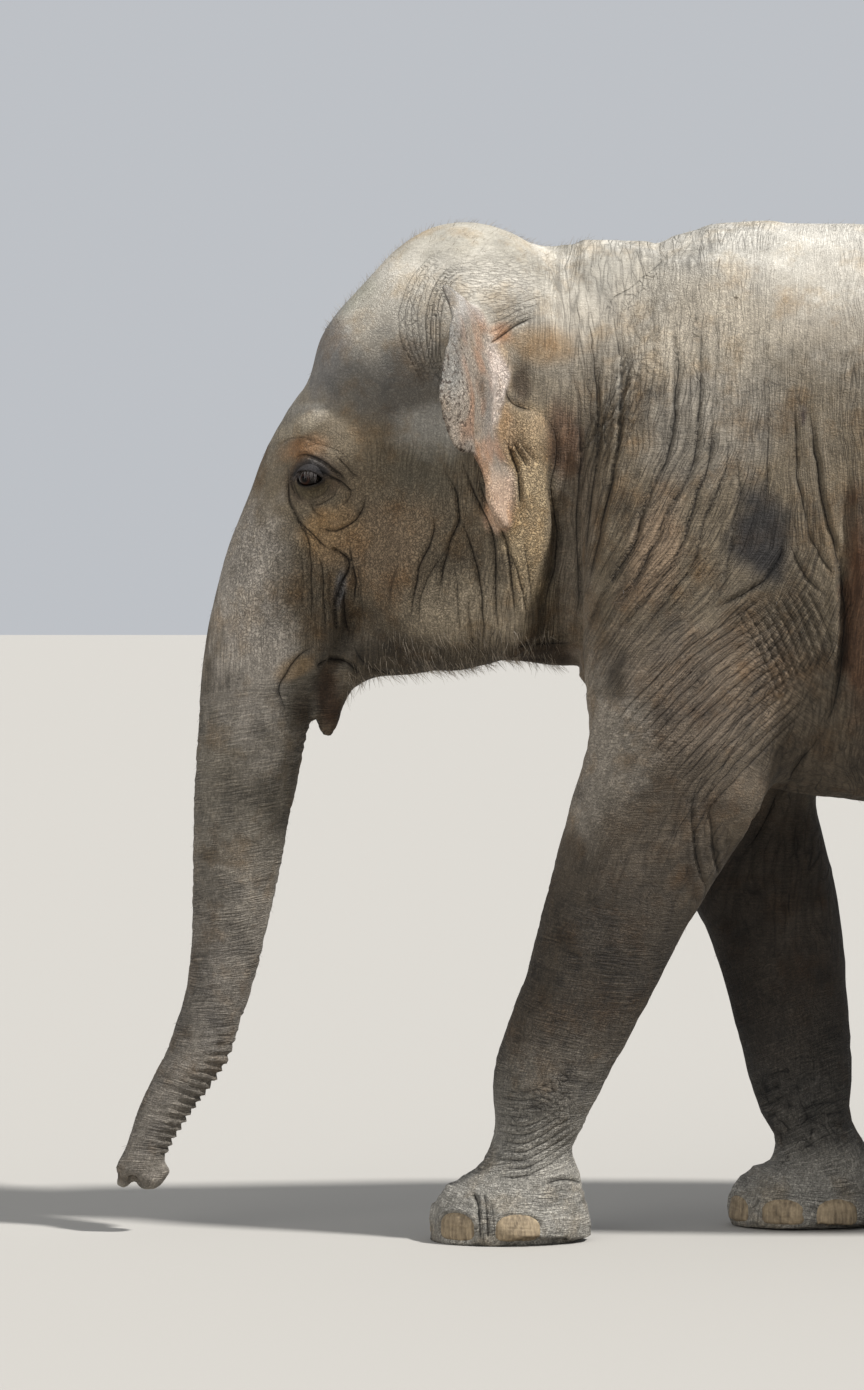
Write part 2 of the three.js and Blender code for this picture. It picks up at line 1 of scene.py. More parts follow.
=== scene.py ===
"""A still, life-size Asian elephant cow: one skin over the whole animal, with eyes, nails and bristles.

Units are metres in the row's frame: +Z up, the head towards -X, the elephant's left side towards -Y.
The skin is polygonised from the same sweeps and balls that shape the solids, then folded and creased.
"""
import logging
import math
from collections.abc import Callable
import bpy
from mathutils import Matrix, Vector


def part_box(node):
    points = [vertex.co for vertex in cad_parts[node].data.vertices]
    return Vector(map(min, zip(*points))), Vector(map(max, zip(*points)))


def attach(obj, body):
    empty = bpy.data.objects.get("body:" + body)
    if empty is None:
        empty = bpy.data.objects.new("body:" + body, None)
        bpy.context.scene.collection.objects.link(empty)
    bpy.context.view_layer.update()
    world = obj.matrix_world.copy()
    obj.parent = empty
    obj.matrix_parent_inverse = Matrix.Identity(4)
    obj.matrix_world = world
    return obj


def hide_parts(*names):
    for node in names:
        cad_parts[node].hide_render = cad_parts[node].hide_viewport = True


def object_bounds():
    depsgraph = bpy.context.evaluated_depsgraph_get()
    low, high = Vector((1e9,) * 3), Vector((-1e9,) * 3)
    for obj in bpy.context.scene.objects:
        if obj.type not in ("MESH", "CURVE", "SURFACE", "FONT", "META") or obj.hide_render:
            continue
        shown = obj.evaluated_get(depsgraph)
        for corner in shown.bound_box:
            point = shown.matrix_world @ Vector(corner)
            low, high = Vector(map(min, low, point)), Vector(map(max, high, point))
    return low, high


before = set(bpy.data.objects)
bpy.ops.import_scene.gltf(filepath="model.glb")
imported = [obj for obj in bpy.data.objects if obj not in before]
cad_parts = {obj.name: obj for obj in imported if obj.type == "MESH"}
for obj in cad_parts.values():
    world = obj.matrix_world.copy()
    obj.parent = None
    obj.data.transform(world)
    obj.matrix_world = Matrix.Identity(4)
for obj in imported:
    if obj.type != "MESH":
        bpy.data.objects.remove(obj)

from concurrent.futures import ThreadPoolExecutor
from dataclasses import dataclass, field
from enum import Enum

import bmesh
import bpy
import numpy as np
import openvdb
from mathutils import Vector
from mathutils.bvhtree import BVHTree

logging.basicConfig(level=logging.INFO, format="%(message)s")
log = logging.getLogger("elephant")

MM = 0.001
SEED = 7
CAD_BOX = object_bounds()

Array = np.ndarray


class Side(Enum):
    """The elephant's two sides, as the sign of Y."""

    LEFT = -1
    RIGHT = 1

    @property
    def word(self) -> str:
        """The side's name as the nodes have it."""
        return self.name.lower()


# ------------ stations, as in the solids

TORSO = (
    (-560, 0, 1742, 594, 285), (-455, 0, 1732, 650, 350), (-200, 0, 1714, 672, 440),
    (0, 0, 1699, 685, 500), (260, 0, 1686, 718, 556), (520, 0, 1667, 744, 586),
    (780, 0, 1650, 750, 588), (1040, 0, 1640, 724, 560), (1280, 0, 1640, 658, 508),
    (1480, 0, 1652, 552, 436), (1630, 0, 1668, 410, 345), (1720, 0, 1675, 270, 250),
)
NECK = (
    (-980, 0, 1888, 455, 200), (-800, 0, 1848, 506, 215), (-644, 0, 1836, 508, 252),
    (-480, 0, 1785, 568, 330),
)
TRUNK = (
    (-1060, 0, 2010, 210, 205), (-1182, 0, 1904, 214, 196), (-1274, 0, 1796, 202, 190),
    (-1345, 0, 1668, 187, 182), (-1400, 0, 1560, 173, 168), (-1443, 0, 1450, 159, 153),
    (-1478, 0, 1340, 147, 140), (-1500, 0, 1235, 138, 131), (-1512, 0, 1130, 130, 124),
    (-1528, 0, 1010, 118, 112), (-1548, 0, 835, 100, 97), (-1574, 0, 640, 82, 82),
    (-1596, 0, 545, 76, 75), (-1632, 0, 434, 71, 69), (-1697, 0, 322, 60, 58),
    (-1749, 0, 220, 49, 50), (-1768, 0, 165, 50, 48), (-1775, 0, 140, 53, 46),
)
JAW = (
    (-1040, 0, 1500, 178, 150), (-1150, 0, 1425, 118, 118), (-1245, 0, 1368, 66, 92),
    (-1298, 0, 1318, 48, 68), (-1318, 0, 1262, 36, 50), (-1327, 0, 1212, 27, 36),
    (-1331, 0, 1180, 17, 22),
)
TAIL = (
    (1560, 0, 1950, 66, 60), (1672, 0, 1955, 64, 58), (1768, 0, 1868, 55, 50),
    (1822, 0, 1728, 45, 41), (1848, 0, 1550, 35, 34), (1856, 0, 1340, 28, 27),
    (1860, 0, 1120, 22, 21), (1862, 0, 990, 18, 18), (1863, 0, 900, 16, 15),
)
UNDER = -60


@dataclass(frozen=True)
class LegPlan:
    """The stations of a pair of legs, from the top down to under the sole, in millimetres."""

    height: tuple[float, ...]
    spread: tuple[float, ...]
    girth: tuple[tuple[float, float], ...]
    line: dict[Side, tuple[float, ...]]

    def stations(self, side: Side) -> list[tuple[float, ...]]:
        """The stations of one side's leg.

        Args:
            side: which of the pair.
        Returns:
            Rows of x, y, z, half depth and half width.
        """
        rows = zip(self.line[side], self.spread, self.height, self.girth)
        return [(x, side.value * out, z, *girth) for x, out, z, girth in rows]


FORELEG = LegPlan(
    height=(2230, 1897, 1496, 1166, 930, 758, 571, 434, 363, 295, 226, 150, 82, 48, 20, 0, UNDER),
    spread=(110, 250, 300, 290, 262, 240, 215, 200, 193, 188, 184, 180, 178, 177, 177, 177, 177),
    girth=((130, 60), (215, 105), (235, 150), (222, 160), (192, 150), (166, 138), (145, 127),
           (134, 124), (127, 122), (113, 114), (98, 104), (132, 124), (174, 158), (186, 172),
           (190, 172), (156, 142), (156, 142)),
    line={
        Side.LEFT: (-370, -448, -500, -500, -592, -663, -734, -793, -817, -831, -847, -855, -873,
                    -887, -896, -890, -890),
        Side.RIGHT: (-370, -448, -490, -440, -340, -272, -230, -208, -198, -186, -168, -155, -166,
                     -176, -185, -182, -182),
    },
)
HINDLEG = LegPlan(
    height=(1950, 1650, 1330, 1080, 860, 660, 470, 330, 240, 160, 84, 46, 18, 0, UNDER),
    spread=(150, 280, 330, 320, 295, 270, 245, 228, 218, 212, 210, 210, 210, 210, 210),
    girth=((190, 60), (285, 140), (272, 165), (232, 160), (188, 145), (148, 128), (122, 114),
           (110, 106), (112, 108), (138, 122), (168, 146), (172, 150), (160, 140), (134, 116),
           (134, 116)),
    line={
        Side.LEFT: (1330, 1370, 1360, 1300, 1235, 1200, 1190, 1185, 1172, 1150, 1130, 1124, 1126,
                    1130, 1130),
        Side.RIGHT: (1330, 1390, 1410, 1400, 1385, 1400, 1430, 1455, 1450, 1430, 1412, 1407, 1409,
                     1412, 1412),
    },
)

# Balls in pairs: centre and radii of the right one, and how widely it blends, in millimetres.
HEAD_BALLS = {
    "crown": ((-1002, 88, 2116), (262, 195, 268), 60),
    "forehead": ((-1125, 82, 2042), (232, 165, 205), 60),
    "temple": ((-925, 95, 1880), (205, 185, 300), 80),
    "cheek": ((-1035, 75, 1605), (225, 175, 275), 70),
    "jowl": ((-895, 150, 1660), (98, 138, 300), 50),
    "brow": ((-1290, 118, 1862), (110, 86, 95), 50),
    "lip_sheath": ((-1392, 98, 1405), (72, 58, 92), 40),
}
# Masses at the end of the trunk, on the midplane: the finger, the rear lip and the bump behind it.
TIP_BALLS = {
    "finger": ((-1807, 0, 141), (15, 22, 34), 24),
    "finger_end": ((-1817, 0, 119), (10, 17, 13), 12),
    "rear_lip": ((-1752, 0, 128), (34, 42, 27), 22),
    "heel": ((-1718, 0, 148), (17, 32, 17), 16),
}
NOSTRIL = ((-1782, 19, 122), (16, 12, 34), 8)
EYE_CENTRE = (-1366, 193, 1786)
EYE_RADIUS = 27
EAR_ROWS = (
    ((-990, 300, 2170), (-1010, 345, 2195), (-1035, 375, 2215), (-1055, 395, 2230)),
    ((-975, 285, 2135), (-1000, 360, 2145), (-1020, 420, 2160), (-1035, 455, 2170)),
    ((-960, 280, 2085), (-990, 380, 2090), (-1020, 480, 2090), (-1045, 540, 2095)),
    ((-935, 270, 2020), (-970, 395, 2020), (-1015, 520, 2020), (-1060, 590, 2025)),
    ((-945, 270, 1955), (-970, 405, 1955), (-1010, 535, 1955), (-1065, 605, 1960)),
    ((-945, 270, 1895), (-970, 390, 1895), (-1005, 520, 1895), (-1050, 590, 1900)),
    ((-940, 265, 1855), (-960, 380, 1855), (-990, 490, 1850), (-1025, 560, 1850)),
    ((-930, 260, 1825), (-945, 345, 1825), (-960, 420, 1825), (-985, 480, 1835)),
    ((-920, 255, 1780), (-930, 330, 1780), (-945, 400, 1780), (-960, 440, 1785)),
    ((-915, 250, 1725), (-925, 310, 1720), (-935, 370, 1725), (-950, 410, 1730)),
    ((-925, 245, 1690), (-920, 290, 1685), (-915, 330, 1680), (-915, 360, 1675)),
)

# The solids stand a little off the stations' own origin, so that their box is centred.
SHIFT = (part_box("eye_left")[0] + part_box("eye_left")[1]) / 2 - Vector(
    (EYE_CENTRE[0], -EYE_CENTRE[1], EYE_CENTRE[2])) * MM


def placed(points: Array) -> Array:
    """Points in the row's frame, from points in the stations' frame."""
    return points + np.array(SHIFT)


def mirrored(points: Array) -> Array:
    """The points, with those on the left brought over to the right."""
    return np.column_stack([points[:, 0], abs(points[:, 1]), points[:, 2]])


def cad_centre(node: str) -> tuple[float, float, float]:
    """The middle of a CAD node's box."""
    low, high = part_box(node)
    return tuple((np.array(low) + np.array(high)) / 2)


def from_eye(points: Array) -> Array:
    """How far each point is from the middle of the nearer eye."""
    return np.linalg.norm(mirrored(points) - np.array(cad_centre("eye_right")), axis=1)


def points_of(mesh: bpy.types.Mesh) -> Array:
    """A mesh's points as rows."""
    flat = np.empty(len(mesh.vertices) * 3, np.float32)
    mesh.vertices.foreach_get("co", flat)
    return flat.reshape(-1, 3).astype(float)


def corners_of(mesh: bpy.types.Mesh) -> Array:
    """The number of the point at each corner of a mesh's faces."""
    corners = np.empty(len(mesh.loops), np.int32)
    mesh.loops.foreach_get("vertex_index", corners)
    return corners


def linked(name: str, data: bpy.types.ID) -> bpy.types.Object:
    """An object with its data, in the scene."""
    thing = bpy.data.objects.new(name, data)
    bpy.context.scene.collection.objects.link(thing)
    return thing


def settled(draft: bpy.types.Object) -> bpy.types.Mesh:
    """The mesh of a draft with its modifiers applied, in place of the draft."""
    mesh = bpy.data.meshes.new_from_object(draft.evaluated_get(bpy.context.evaluated_depsgraph_get()))
    bpy.data.objects.remove(draft)
    return mesh


# ------------ curves and noise


def spline(points: Array, steps: int) -> Array:
    """A Catmull-Rom line through points, with its ends reflected.

    Args:
        points: the points to pass through, one a row.
        steps: samples in each span.
    Returns:
        The samples, the last point included.
    """
    ends = np.vstack([2 * points[0] - points[1], points, 2 * points[-1] - points[-2]])
    t = (np.arange(steps) / steps)[:, None]
    spans = []
    for a, b, c, d in zip(ends, ends[1:], ends[2:], ends[3:]):
        out, back = (c - a) / 2, (d - b) / 2
        spans.append((2 * b - 2 * c + out + back) * t**3 + (3 * c - 3 * b - 2 * out - back) * t**2
                     + out * t + b)
    return np.vstack(spans + [points[-1:]])


def step(low: float, high: float, value: Array) -> Array:
    """A smooth rise from 0 at low to 1 at high."""
    t = np.clip((value - low) / (high - low), 0, 1)
    return t * t * (3 - 2 * t)


def hashed(cells: Array, salt: int) -> Array:
    """Three even random numbers for each integer cell, the same on each run."""
    a = cells.astype(np.int64)
    n = a[..., 0] * 73856093 ^ a[..., 1] * 19349663 ^ a[..., 2] * 83492791 ^ (salt * 2654435761)
    n = (n ^ (n >> 13)) * 1274126177 & 0x7FFFFFFF
    out = []
    for _ in range(3):
        n = (n * 1103515245 + 12345 ^ (n >> 11)) & 0x7FFFFFFF
        out.append(n / 0x7FFFFFFF)
    return np.stack(out, -1)


def noise(p: Array, salt: int = 0) -> Array:
    """Smooth value noise from -1 to 1 with a period of one unit."""
    base = np.floor(p)
    t = p - base
    t = t * t * (3 - 2 * t)
    total = np.zeros(len(p))
    for corner in np.ndindex(2, 2, 2):
        weight = np.prod(np.where(np.array(corner), t, 1 - t), axis=1)
        total += weight * (hashed(base + corner, salt)[..., 0] * 2 - 1)
    return total


def creased(p: Array, salt: int, thin: float) -> Array:
    """1 on winding lines about two units apart, falling off sharply beside them.

    Args:
        p: points, in units of the pitch on each axis.
        salt: which lines.
        thin: how thin they are, as a share of a unit.
    Returns:
        A number from 0 to 1 for each point.
    """
    return np.exp(-abs(noise(p, salt) + 0.2 * noise(p * 2.3, salt + 50)) / thin)


# ------------ the blended form

SAMPLES_PER_SPAN = 4
REACH = 320 * MM
FAR_OFF = 10.0


class Form:
    """A mass of the body, as a distance that is negative inside it."""

    blend: float

    def distance(self, p: Array) -> Array:
        """The distance of each point from the surface."""
        raise NotImplementedError


class Sweep(Form):
    """A body length along a line of stations, oval in section, and narrower above by its taper."""

    def __init__(self, stations: list[tuple[float, ...]], blend: float = 100, power: float = 2,
                 taper: float = 0, cap: float = 0.35) -> None:
        """Samples the stations.

        Args:
            stations: rows of x, y, z, half depth and half width in millimetres.
            blend: how widely it flows into the rest, in millimetres.
            power: 2 for an oval section, more for a squarer one.
            taper: the share by which the top is narrower than the middle.
            cap: the length of a rounded end, as a share of its radius.
        """
        table = np.array(stations, float) * MM
        line = spline(table, SAMPLES_PER_SPAN)
        self.at, self.deep, self.wide = line[:, :3], line[:, 3], line[:, 4]
        ahead = np.vstack([self.at[1:], self.at[-1:]]) - np.vstack([self.at[:1], self.at[:-1]])
        self.along = ahead / np.linalg.norm(ahead, axis=1)[:, None]
        side = np.array((0, 1, 0)) - self.along * self.along[:, 1:2]
        self.side = side / np.linalg.norm(side, axis=1)[:, None]
        self.up = np.cross(self.along, self.side)
        self.blend, self.power, self.taper, self.cap = blend * MM, power, taper, cap
        spans = np.linalg.norm(np.diff(self.at, axis=0), axis=1)
        self.length = np.concatenate([[0], np.cumsum(spans)])
        widest = max(self.deep.max(), self.wide.max()) + REACH
        self.low, self.high = self.at.min(0) - widest, self.at.max(0) + widest

    def nearest(self, p: Array) -> tuple[Array, Array]:
        """The segment that is nearest to each point, and how far along it the nearest place is."""
        gaps = (self.at**2).sum(1)[None] - 2 * p @ self.at.T
        near = gaps.argmin(1)
        best = np.full(len(p), np.inf)
        found = np.zeros(len(p), int)
        share = np.zeros(len(p))
        for shift in (-1, 0):
            i = np.clip(near + shift, 0, len(self.at) - 2)
            a, run = self.at[i], self.at[i + 1] - self.at[i]
            t = np.clip(((p - a) * run).sum(1) / (run * run).sum(1), 0, 1)
            gap = ((p - a - t[:, None] * run) ** 2).sum(1)
            better = gap < best
            best = np.where(better, gap, best)
            found = np.where(better, i, found)
            share = np.where(better, t, share)
        return found, share

    def place(self, p: Array) -> dict[str, Array]:
        """Where points lie in the sweep: length along, offsets and sizes there, and ratio to the skin."""
        i, t = self.nearest(p)

        def mix(rows: Array) -> Array:
            """The sweep's own value at the nearest place to each point."""
            return rows[i] + (rows[i + 1] - rows[i]) * (t if rows.ndim == 1 else t[:, None])

        off = p - mix(self.at)
        deep, wide = mix(self.deep), mix(self.wide)
        up = (off * mix(self.up)).sum(1)
        side = (off * mix(self.side)).sum(1)
        wide = wide * (1 - self.taper * np.clip(up / deep, -1, 1))
        beyond = (off * mix(self.along)).sum(1) / (np.minimum(deep, wide) * self.cap)
        at_end = ((i == 0) & (t == 0)) | ((i == len(self.at) - 2) & (t == 1))
        across = (abs(up / deep) ** self.power + abs(side / wide) ** self.power) ** (1 / self.power)
        ratio = np.where(at_end, np.hypot(across, beyond), across)
        return {"length": mix(self.length), "up": up, "side": side, "deep": deep, "wide": wide,
                "ratio": ratio, "off": np.linalg.norm(off, axis=1)}

    def distance(self, p: Array) -> Array:
        """The distance of each point from the surface, worked out near the sweep only."""
        out = np.full(len(p), FAR_OFF)
        here = ((p > self.low) & (p < self.high)).all(1)
        if here.any():
            at = self.place(p[here])
            ratio = np.maximum(at["ratio"], 1e-3)
            deep = -np.minimum(at["deep"], at["wide"])
            out[here] = np.where(at["ratio"] < 1e-3, deep, (ratio - 1) * at["off"] / ratio)
        return out


class Ball(Form):
    """An oval mass and its like on the other side."""

    def __init__(self, centre: tuple[float, ...], radii: tuple[float, ...], blend: float) -> None:
        """Keeps the right-hand ball's sizes, all in millimetres."""
        self.centre, self.radii, self.blend = np.array(centre) * MM, np.array(radii) * MM, blend * MM

    def distance(self, p: Array) -> Array:
        """The distance of each point from the nearer of the two."""
        off = mirrored(p) - self.centre
        ratio = np.maximum(np.linalg.norm(off / self.radii, axis=1), 1e-3)
        return (ratio - 1) * np.linalg.norm(off, axis=1) / ratio


def blended(a: Array, b: Array, width: float) -> Array:
    """The union of two distances, flowing into each other over a width."""
    near = np.maximum(width - abs(a - b), 0) / width
    return np.minimum(a, b) - near * near * width / 4


# ------------ the ears


class Ear(Form):
    """One ear flap: a sheet through rows of points, thick at the root and thin at the rim."""

    ROOT, RIM = 34 * MM, 13 * MM
    ROOT_OUT, RIM_OUT = 250 * MM, 560 * MM
    SPAN = 12
    NEAR = 60 * MM

    def __init__(self, side: Side, blend: float = 40) -> None:
        """Makes the sheet.

        Args:
            side: the ear's side.
            blend: how widely its root flows into the head, in millimetres.
        """
        rows = np.array(EAR_ROWS, float) * MM
        rows[..., 1] *= side.value
        across = np.stack([spline(row, self.SPAN) for row in rows])
        sheet = np.stack([spline(line, self.SPAN) for line in across.transpose(1, 0, 2)], 1)
        high, wide = sheet.shape[:2]
        points = placed(sheet).reshape(-1, 3)
        corner = (np.arange(high - 1)[:, None] * wide + np.arange(wide - 1)).reshape(-1)
        quads = np.column_stack([corner, corner + 1, corner + wide + 1, corner + wide])
        self.tree = BVHTree.FromPolygons(points.tolist(), quads.tolist())
        self.blend = blend * MM
        self.low, self.high = points.min(0) - self.NEAR, points.max(0) + self.NEAR

    def distance(self, p: Array) -> Array:
        """The distance of each point from the flap's skin, worked out near it only."""
        far = np.full(len(p), FAR_OFF)
        here = np.nonzero(((p > self.low) & (p < self.high)).all(1))[0]
        found = [self.tree.find_nearest(q) for q in p[here].tolist()]
        if found:
            gap = np.array([hit[3] for hit in found])
            out = abs(np.array([hit[0][1] for hit in found]))
            thick = self.ROOT + (self.RIM - self.ROOT) * step(self.ROOT_OUT, self.RIM_OUT, out) ** 0.8
            far[here] = gap - thick / 2
        return far


class Body(Form):
    """The whole elephant's form, in the row's frame."""

    def __init__(self) -> None:
        """Makes the masses in the order in which they blend."""
        def shifted(row: tuple[float, ...]) -> tuple[float, ...]:
            """A station, or a ball's centre, moved to the row's frame, in millimetres."""
            return tuple(placed(np.array(row[:3]) * MM) / MM) + tuple(row[3:])

        def sweep(stations: list[tuple[float, ...]] | tuple, *form: float) -> Sweep:
            """A sweep along the moved stations."""
            return Sweep([shifted(row) for row in stations], *form)

        self.torso = sweep(TORSO, 120, 2.15, 0.16)
        self.neck = sweep(NECK, 110, 2.1, 0.12)
        self.trunk, self.jaw, self.tail = sweep(TRUNK, 70), sweep(JAW, 30), sweep(TAIL, 60)
        self.balls, self.tip, (self.nostrils,) = (
            [Ball(shifted(centre), radii, blend) for centre, radii, blend in balls]
            for balls in (HEAD_BALLS.values(), TIP_BALLS.values(), (NOSTRIL,)))
        self.legs = {(name, side): sweep(plan.stations(side), 130)
                     for name, plan in (("foreleg", FORELEG), ("hindleg", HINDLEG)) for side in Side}
        self.ears = {side: Ear(side) for side in Side}

    def masses(self) -> list[Form]:
        """Every mass but the ears."""
        return [self.torso, self.neck, self.trunk, *self.tip, *self.balls, self.jaw,
                *self.legs.values(), self.tail]

    def distance(self, p: Array) -> Array:
        """The distance of each point from the skin."""
        total = np.full(len(p), FAR_OFF)
        for form in self.masses():
            total = blended(total, form.distance(p), form.blend)
        for ear in self.ears.values():
            total = blended(total, ear.distance(p), ear.blend)
        return -blended(-total, self.nostrils.distance(p), self.nostrils.blend)

    def on_flap(self, p: Array) -> Array:
        """How far points belong to an ear's flap, clear of the head, from 0 to 1."""
        masses = np.full(len(p), FAR_OFF)
        for form in self.masses():
            masses = np.minimum(masses, form.distance(p))
        flap = np.minimum(*(ear.distance(p) for ear in self.ears.values()))
        return step(4 * MM, 20 * MM, masses) * (1 - step(10 * MM, 30 * MM, flap))


def in_chunks(work: Callable[[Array], Array], p: Array, rows: int = 40000) -> Array:
    """Runs work on the points, some thousands at a time on several threads, and joins the answers."""
    with ThreadPoolExecutor(4) as pool:
        return np.concatenate(list(pool.map(work, [p[i:i + rows] for i in range(0, len(p), rows)])))


# ------------ the side elevation


class Elevation:
    """The side elevation that folds and colours are laid out on, seen from a little above mid-height.

    Its unit is 2.36 mm at the midplane, across to the rear and down.
    """

    UNIT = 2.36 * MM
    ORIGIN = (890, 1234)
    EYE = np.array((-1081, -18000, 1838)) * MM
    AIM = np.array((-1081, 0, 1272)) * MM

    @classmethod
    def of(cls, p: Array) -> Array:
        """Where points of either side show on the elevation of that side."""
        q = p - np.array(SHIFT)
        away = -cls.EYE[1]
        near = away / (away - abs(q[:, 1]))
        x = cls.EYE[0] + (q[:, 0] - cls.EYE[0]) * near
        z = cls.EYE[2] + (q[:, 2] - cls.EYE[2]) * near
        return np.column_stack([cls.ORIGIN[0] + x / cls.UNIT, cls.ORIGIN[1] - z / cls.UNIT])


@dataclass(frozen=True)
class Fold:
    """A crease in the skin: its line on the elevation, and its depth and half width in millimetres.

    lip is how far the skin stands up beside it, as a share of the depth.
    """

    line: tuple[tuple[float, float], ...]
    depth: float = 4
    width: float = 4
    lip: float = 0.35
    open_ends: bool = True

    def near(self, at: Array) -> tuple[Array, Array, Array]:
        """Which places on the elevation are near the fold, how far off it they lie, and its strength.

        Args:
            at: places on the elevation.
        Returns:
            The near places' numbers, their distances in metres with a sign for the side of the fold,
            and how strong the fold is there, less towards its ends.
        """
        line = spline(np.array(self.line, float), 5) * Elevation.UNIT
        at = at * Elevation.UNIT
        margin = max(5 * self.width, 14) * MM
        found = np.nonzero(((at > line.min(0) - margin) & (at < line.max(0) + margin)).all(1))[0]
        q = at[found]
        lengths = np.concatenate([[0], np.cumsum(np.linalg.norm(np.diff(line, axis=0), axis=1))])
        best = np.full(len(q), FAR_OFF)
        along = np.zeros(len(q))
        for a, b, start, end in zip(line, line[1:], lengths, lengths[1:]):
            run = b - a
            off = q - a
            t = np.clip((off @ run) / (run @ run), 0, 1)
            gap = np.hypot(*(off - t[:, None] * run).T)
            gap = np.where(run[0] * off[:, 1] < run[1] * off[:, 0], -gap, gap)
            closer = abs(gap) < abs(best)
            best = np.where(closer, gap, best)
            along = np.where(closer, start + t * (end - start), along)
        share = along / lengths[-1]
        fade = 0.15 + 0.85 * step(0, 0.25, share) * (1 - step(0.75, 1, share))
        return found, best, fade if self.open_ends else np.ones(len(q))

    def press(self, at: Array) -> Array:
        """How far the fold moves the skin outwards at places on the elevation, in metres."""
        out = np.zeros(len(at))
        found, off, fade = self.near(at)
        off = abs(off) / (self.width * MM)
        lips = np.exp(-((off - 2.3) / 1.1) ** 2)
        out[found] = (self.lip * lips - np.exp(-off**2)) * self.depth * MM * fade
        return out


class Oval:
    """An oval on the elevation, by its middle, its half sizes and its turn in degrees."""

    at: tuple[float, float]
    size: tuple[float, float]
    turn: float

    def reach(self, at: Array) -> Array:
        """How far out in the oval places on the elevation are, 1 on its edge."""
        turn = math.radians(self.turn)
        x, y = (at - np.array(self.at)).T
        a = (x * math.cos(turn) + y * math.sin(turn)) / self.size[0]
        b = (y * math.cos(turn) - x * math.sin(turn)) / self.size[1]
        return np.hypot(a, b)


@dataclass(frozen=True)
class Swelling(Oval):
    """A soft rise in the skin, or a hollow where its height in millimetres is negative."""

    at: tuple[float, float]
    size: tuple[float, float]
    height: float
    turn: float = 0
    edge: float = 2

    def press(self, at: Array) -> Array:
        """How far the swelling moves the skin outwards at places on the elevation, in metres."""
        return self.height * MM * np.exp(-self.reach(at) ** self.edge)


SWELLINGS = (
    Swelling((535, 505), (17, 70), 16, -2, 3),
    Swelling((533, 436), (15, 20), 15, 0, 3),
    Swelling((521, 380), (13, 24), -18, 0, 2.5),
    Swelling((566, 545), (11, 105), -18, 0, 4),
    Swelling((300, 664), (26, 13), 14, -22, 3),
    Swelling((301, 712), (12, 24), -10, 0, 3),
    Swelling((347, 584), (5, 14), 8, 12, 3),
    Swelling((366, 592), (12, 36), 8, 5, 3),
    Swelling((384, 440), (60, 44), -8, 0),
    Swelling((330, 330), (40, 44), 6, 30),
    Swelling((307, 421), (24, 13), 12, -25, 3),
    Swelling((327, 466), (17, 4), 4, 28, 3),
    Swelling((340, 496), (9, 7), 4, 0, 3),
    Swelling((336, 515), (22, 9), 5, -12, 3),
    Swelling((420, 560), (50, 60), 6, 0),
    Swelling((640, 480), (40, 90), 8, 15),
    Swelling((753, 812), (34, 36), 14, 0, 3),
    Swelling((847, 600), (9, 110), -26, 0, 4),
    Swelling((800, 620), (26, 90), 10, 0, 3),
    Swelling((700, 700), (60, 40), 8, -40),
    Swelling((690, 450), (18, 90), -5, 0),
    Swelling((628, 330), (14, 70), -12, 18),
    Swelling((870, 330), (30, 90), 8, 0),
)


def strands(first, last, count: int, depth: float, width: float, lip: float = 0.35) -> list[Fold]:
    """A family of folds from one line to another.

    Args:
        first: one outermost line, as points on the elevation.
        last: the other, with as many points.
        count: how many folds there are, both included.
        depth: their depth in millimetres.
        width: their half width in millimetres.
        lip: the rise beside them, as a share of the depth.
    Returns:
        The folds.
    """
    a, b = np.array(first, float), np.array(last, float)
    lines = [a + (b - a) * i / (count - 1) for i in range(count)]
    return [Fold(tuple(map(tuple, line)), depth, width, lip) for line in lines]


# Folds of the head, on the elevation.
EYE_FOLDS = [
    Fold(((296, 460), (300, 456), (308, 455), (318, 459), (330, 467), (341, 474), (349, 483)), 6, 3, 0.4),
    Fold(((334, 455), (344, 463), (353, 473), (361, 479)), 4, 3, 0.4),
    Fold(((320, 471), (331, 476), (343, 482), (351, 490)), 6, 2.6, 0.3, False),
    Fold(((351, 490), (349, 498), (341, 506)), 3.5, 3),
    Fold(((328, 480), (328, 490), (320, 497), (308, 497)), 3, 2.2),
    Fold(((337, 484), (334, 497), (321, 504), (309, 502)), 4, 2.6),
    Fold(((311, 499), (316, 511), (327, 519)), 3, 2.6),
    Fold(((316, 527), (333, 531), (348, 526), (358, 516), (364, 505), (366, 495)), 6, 3.4, 0.4),
    Fold(((297, 469), (294, 479), (296, 491), (303, 502)), 4, 2.6),
    Fold(((302, 448), (318, 445), (336, 450), (354, 462)), 2, 3.5),
]
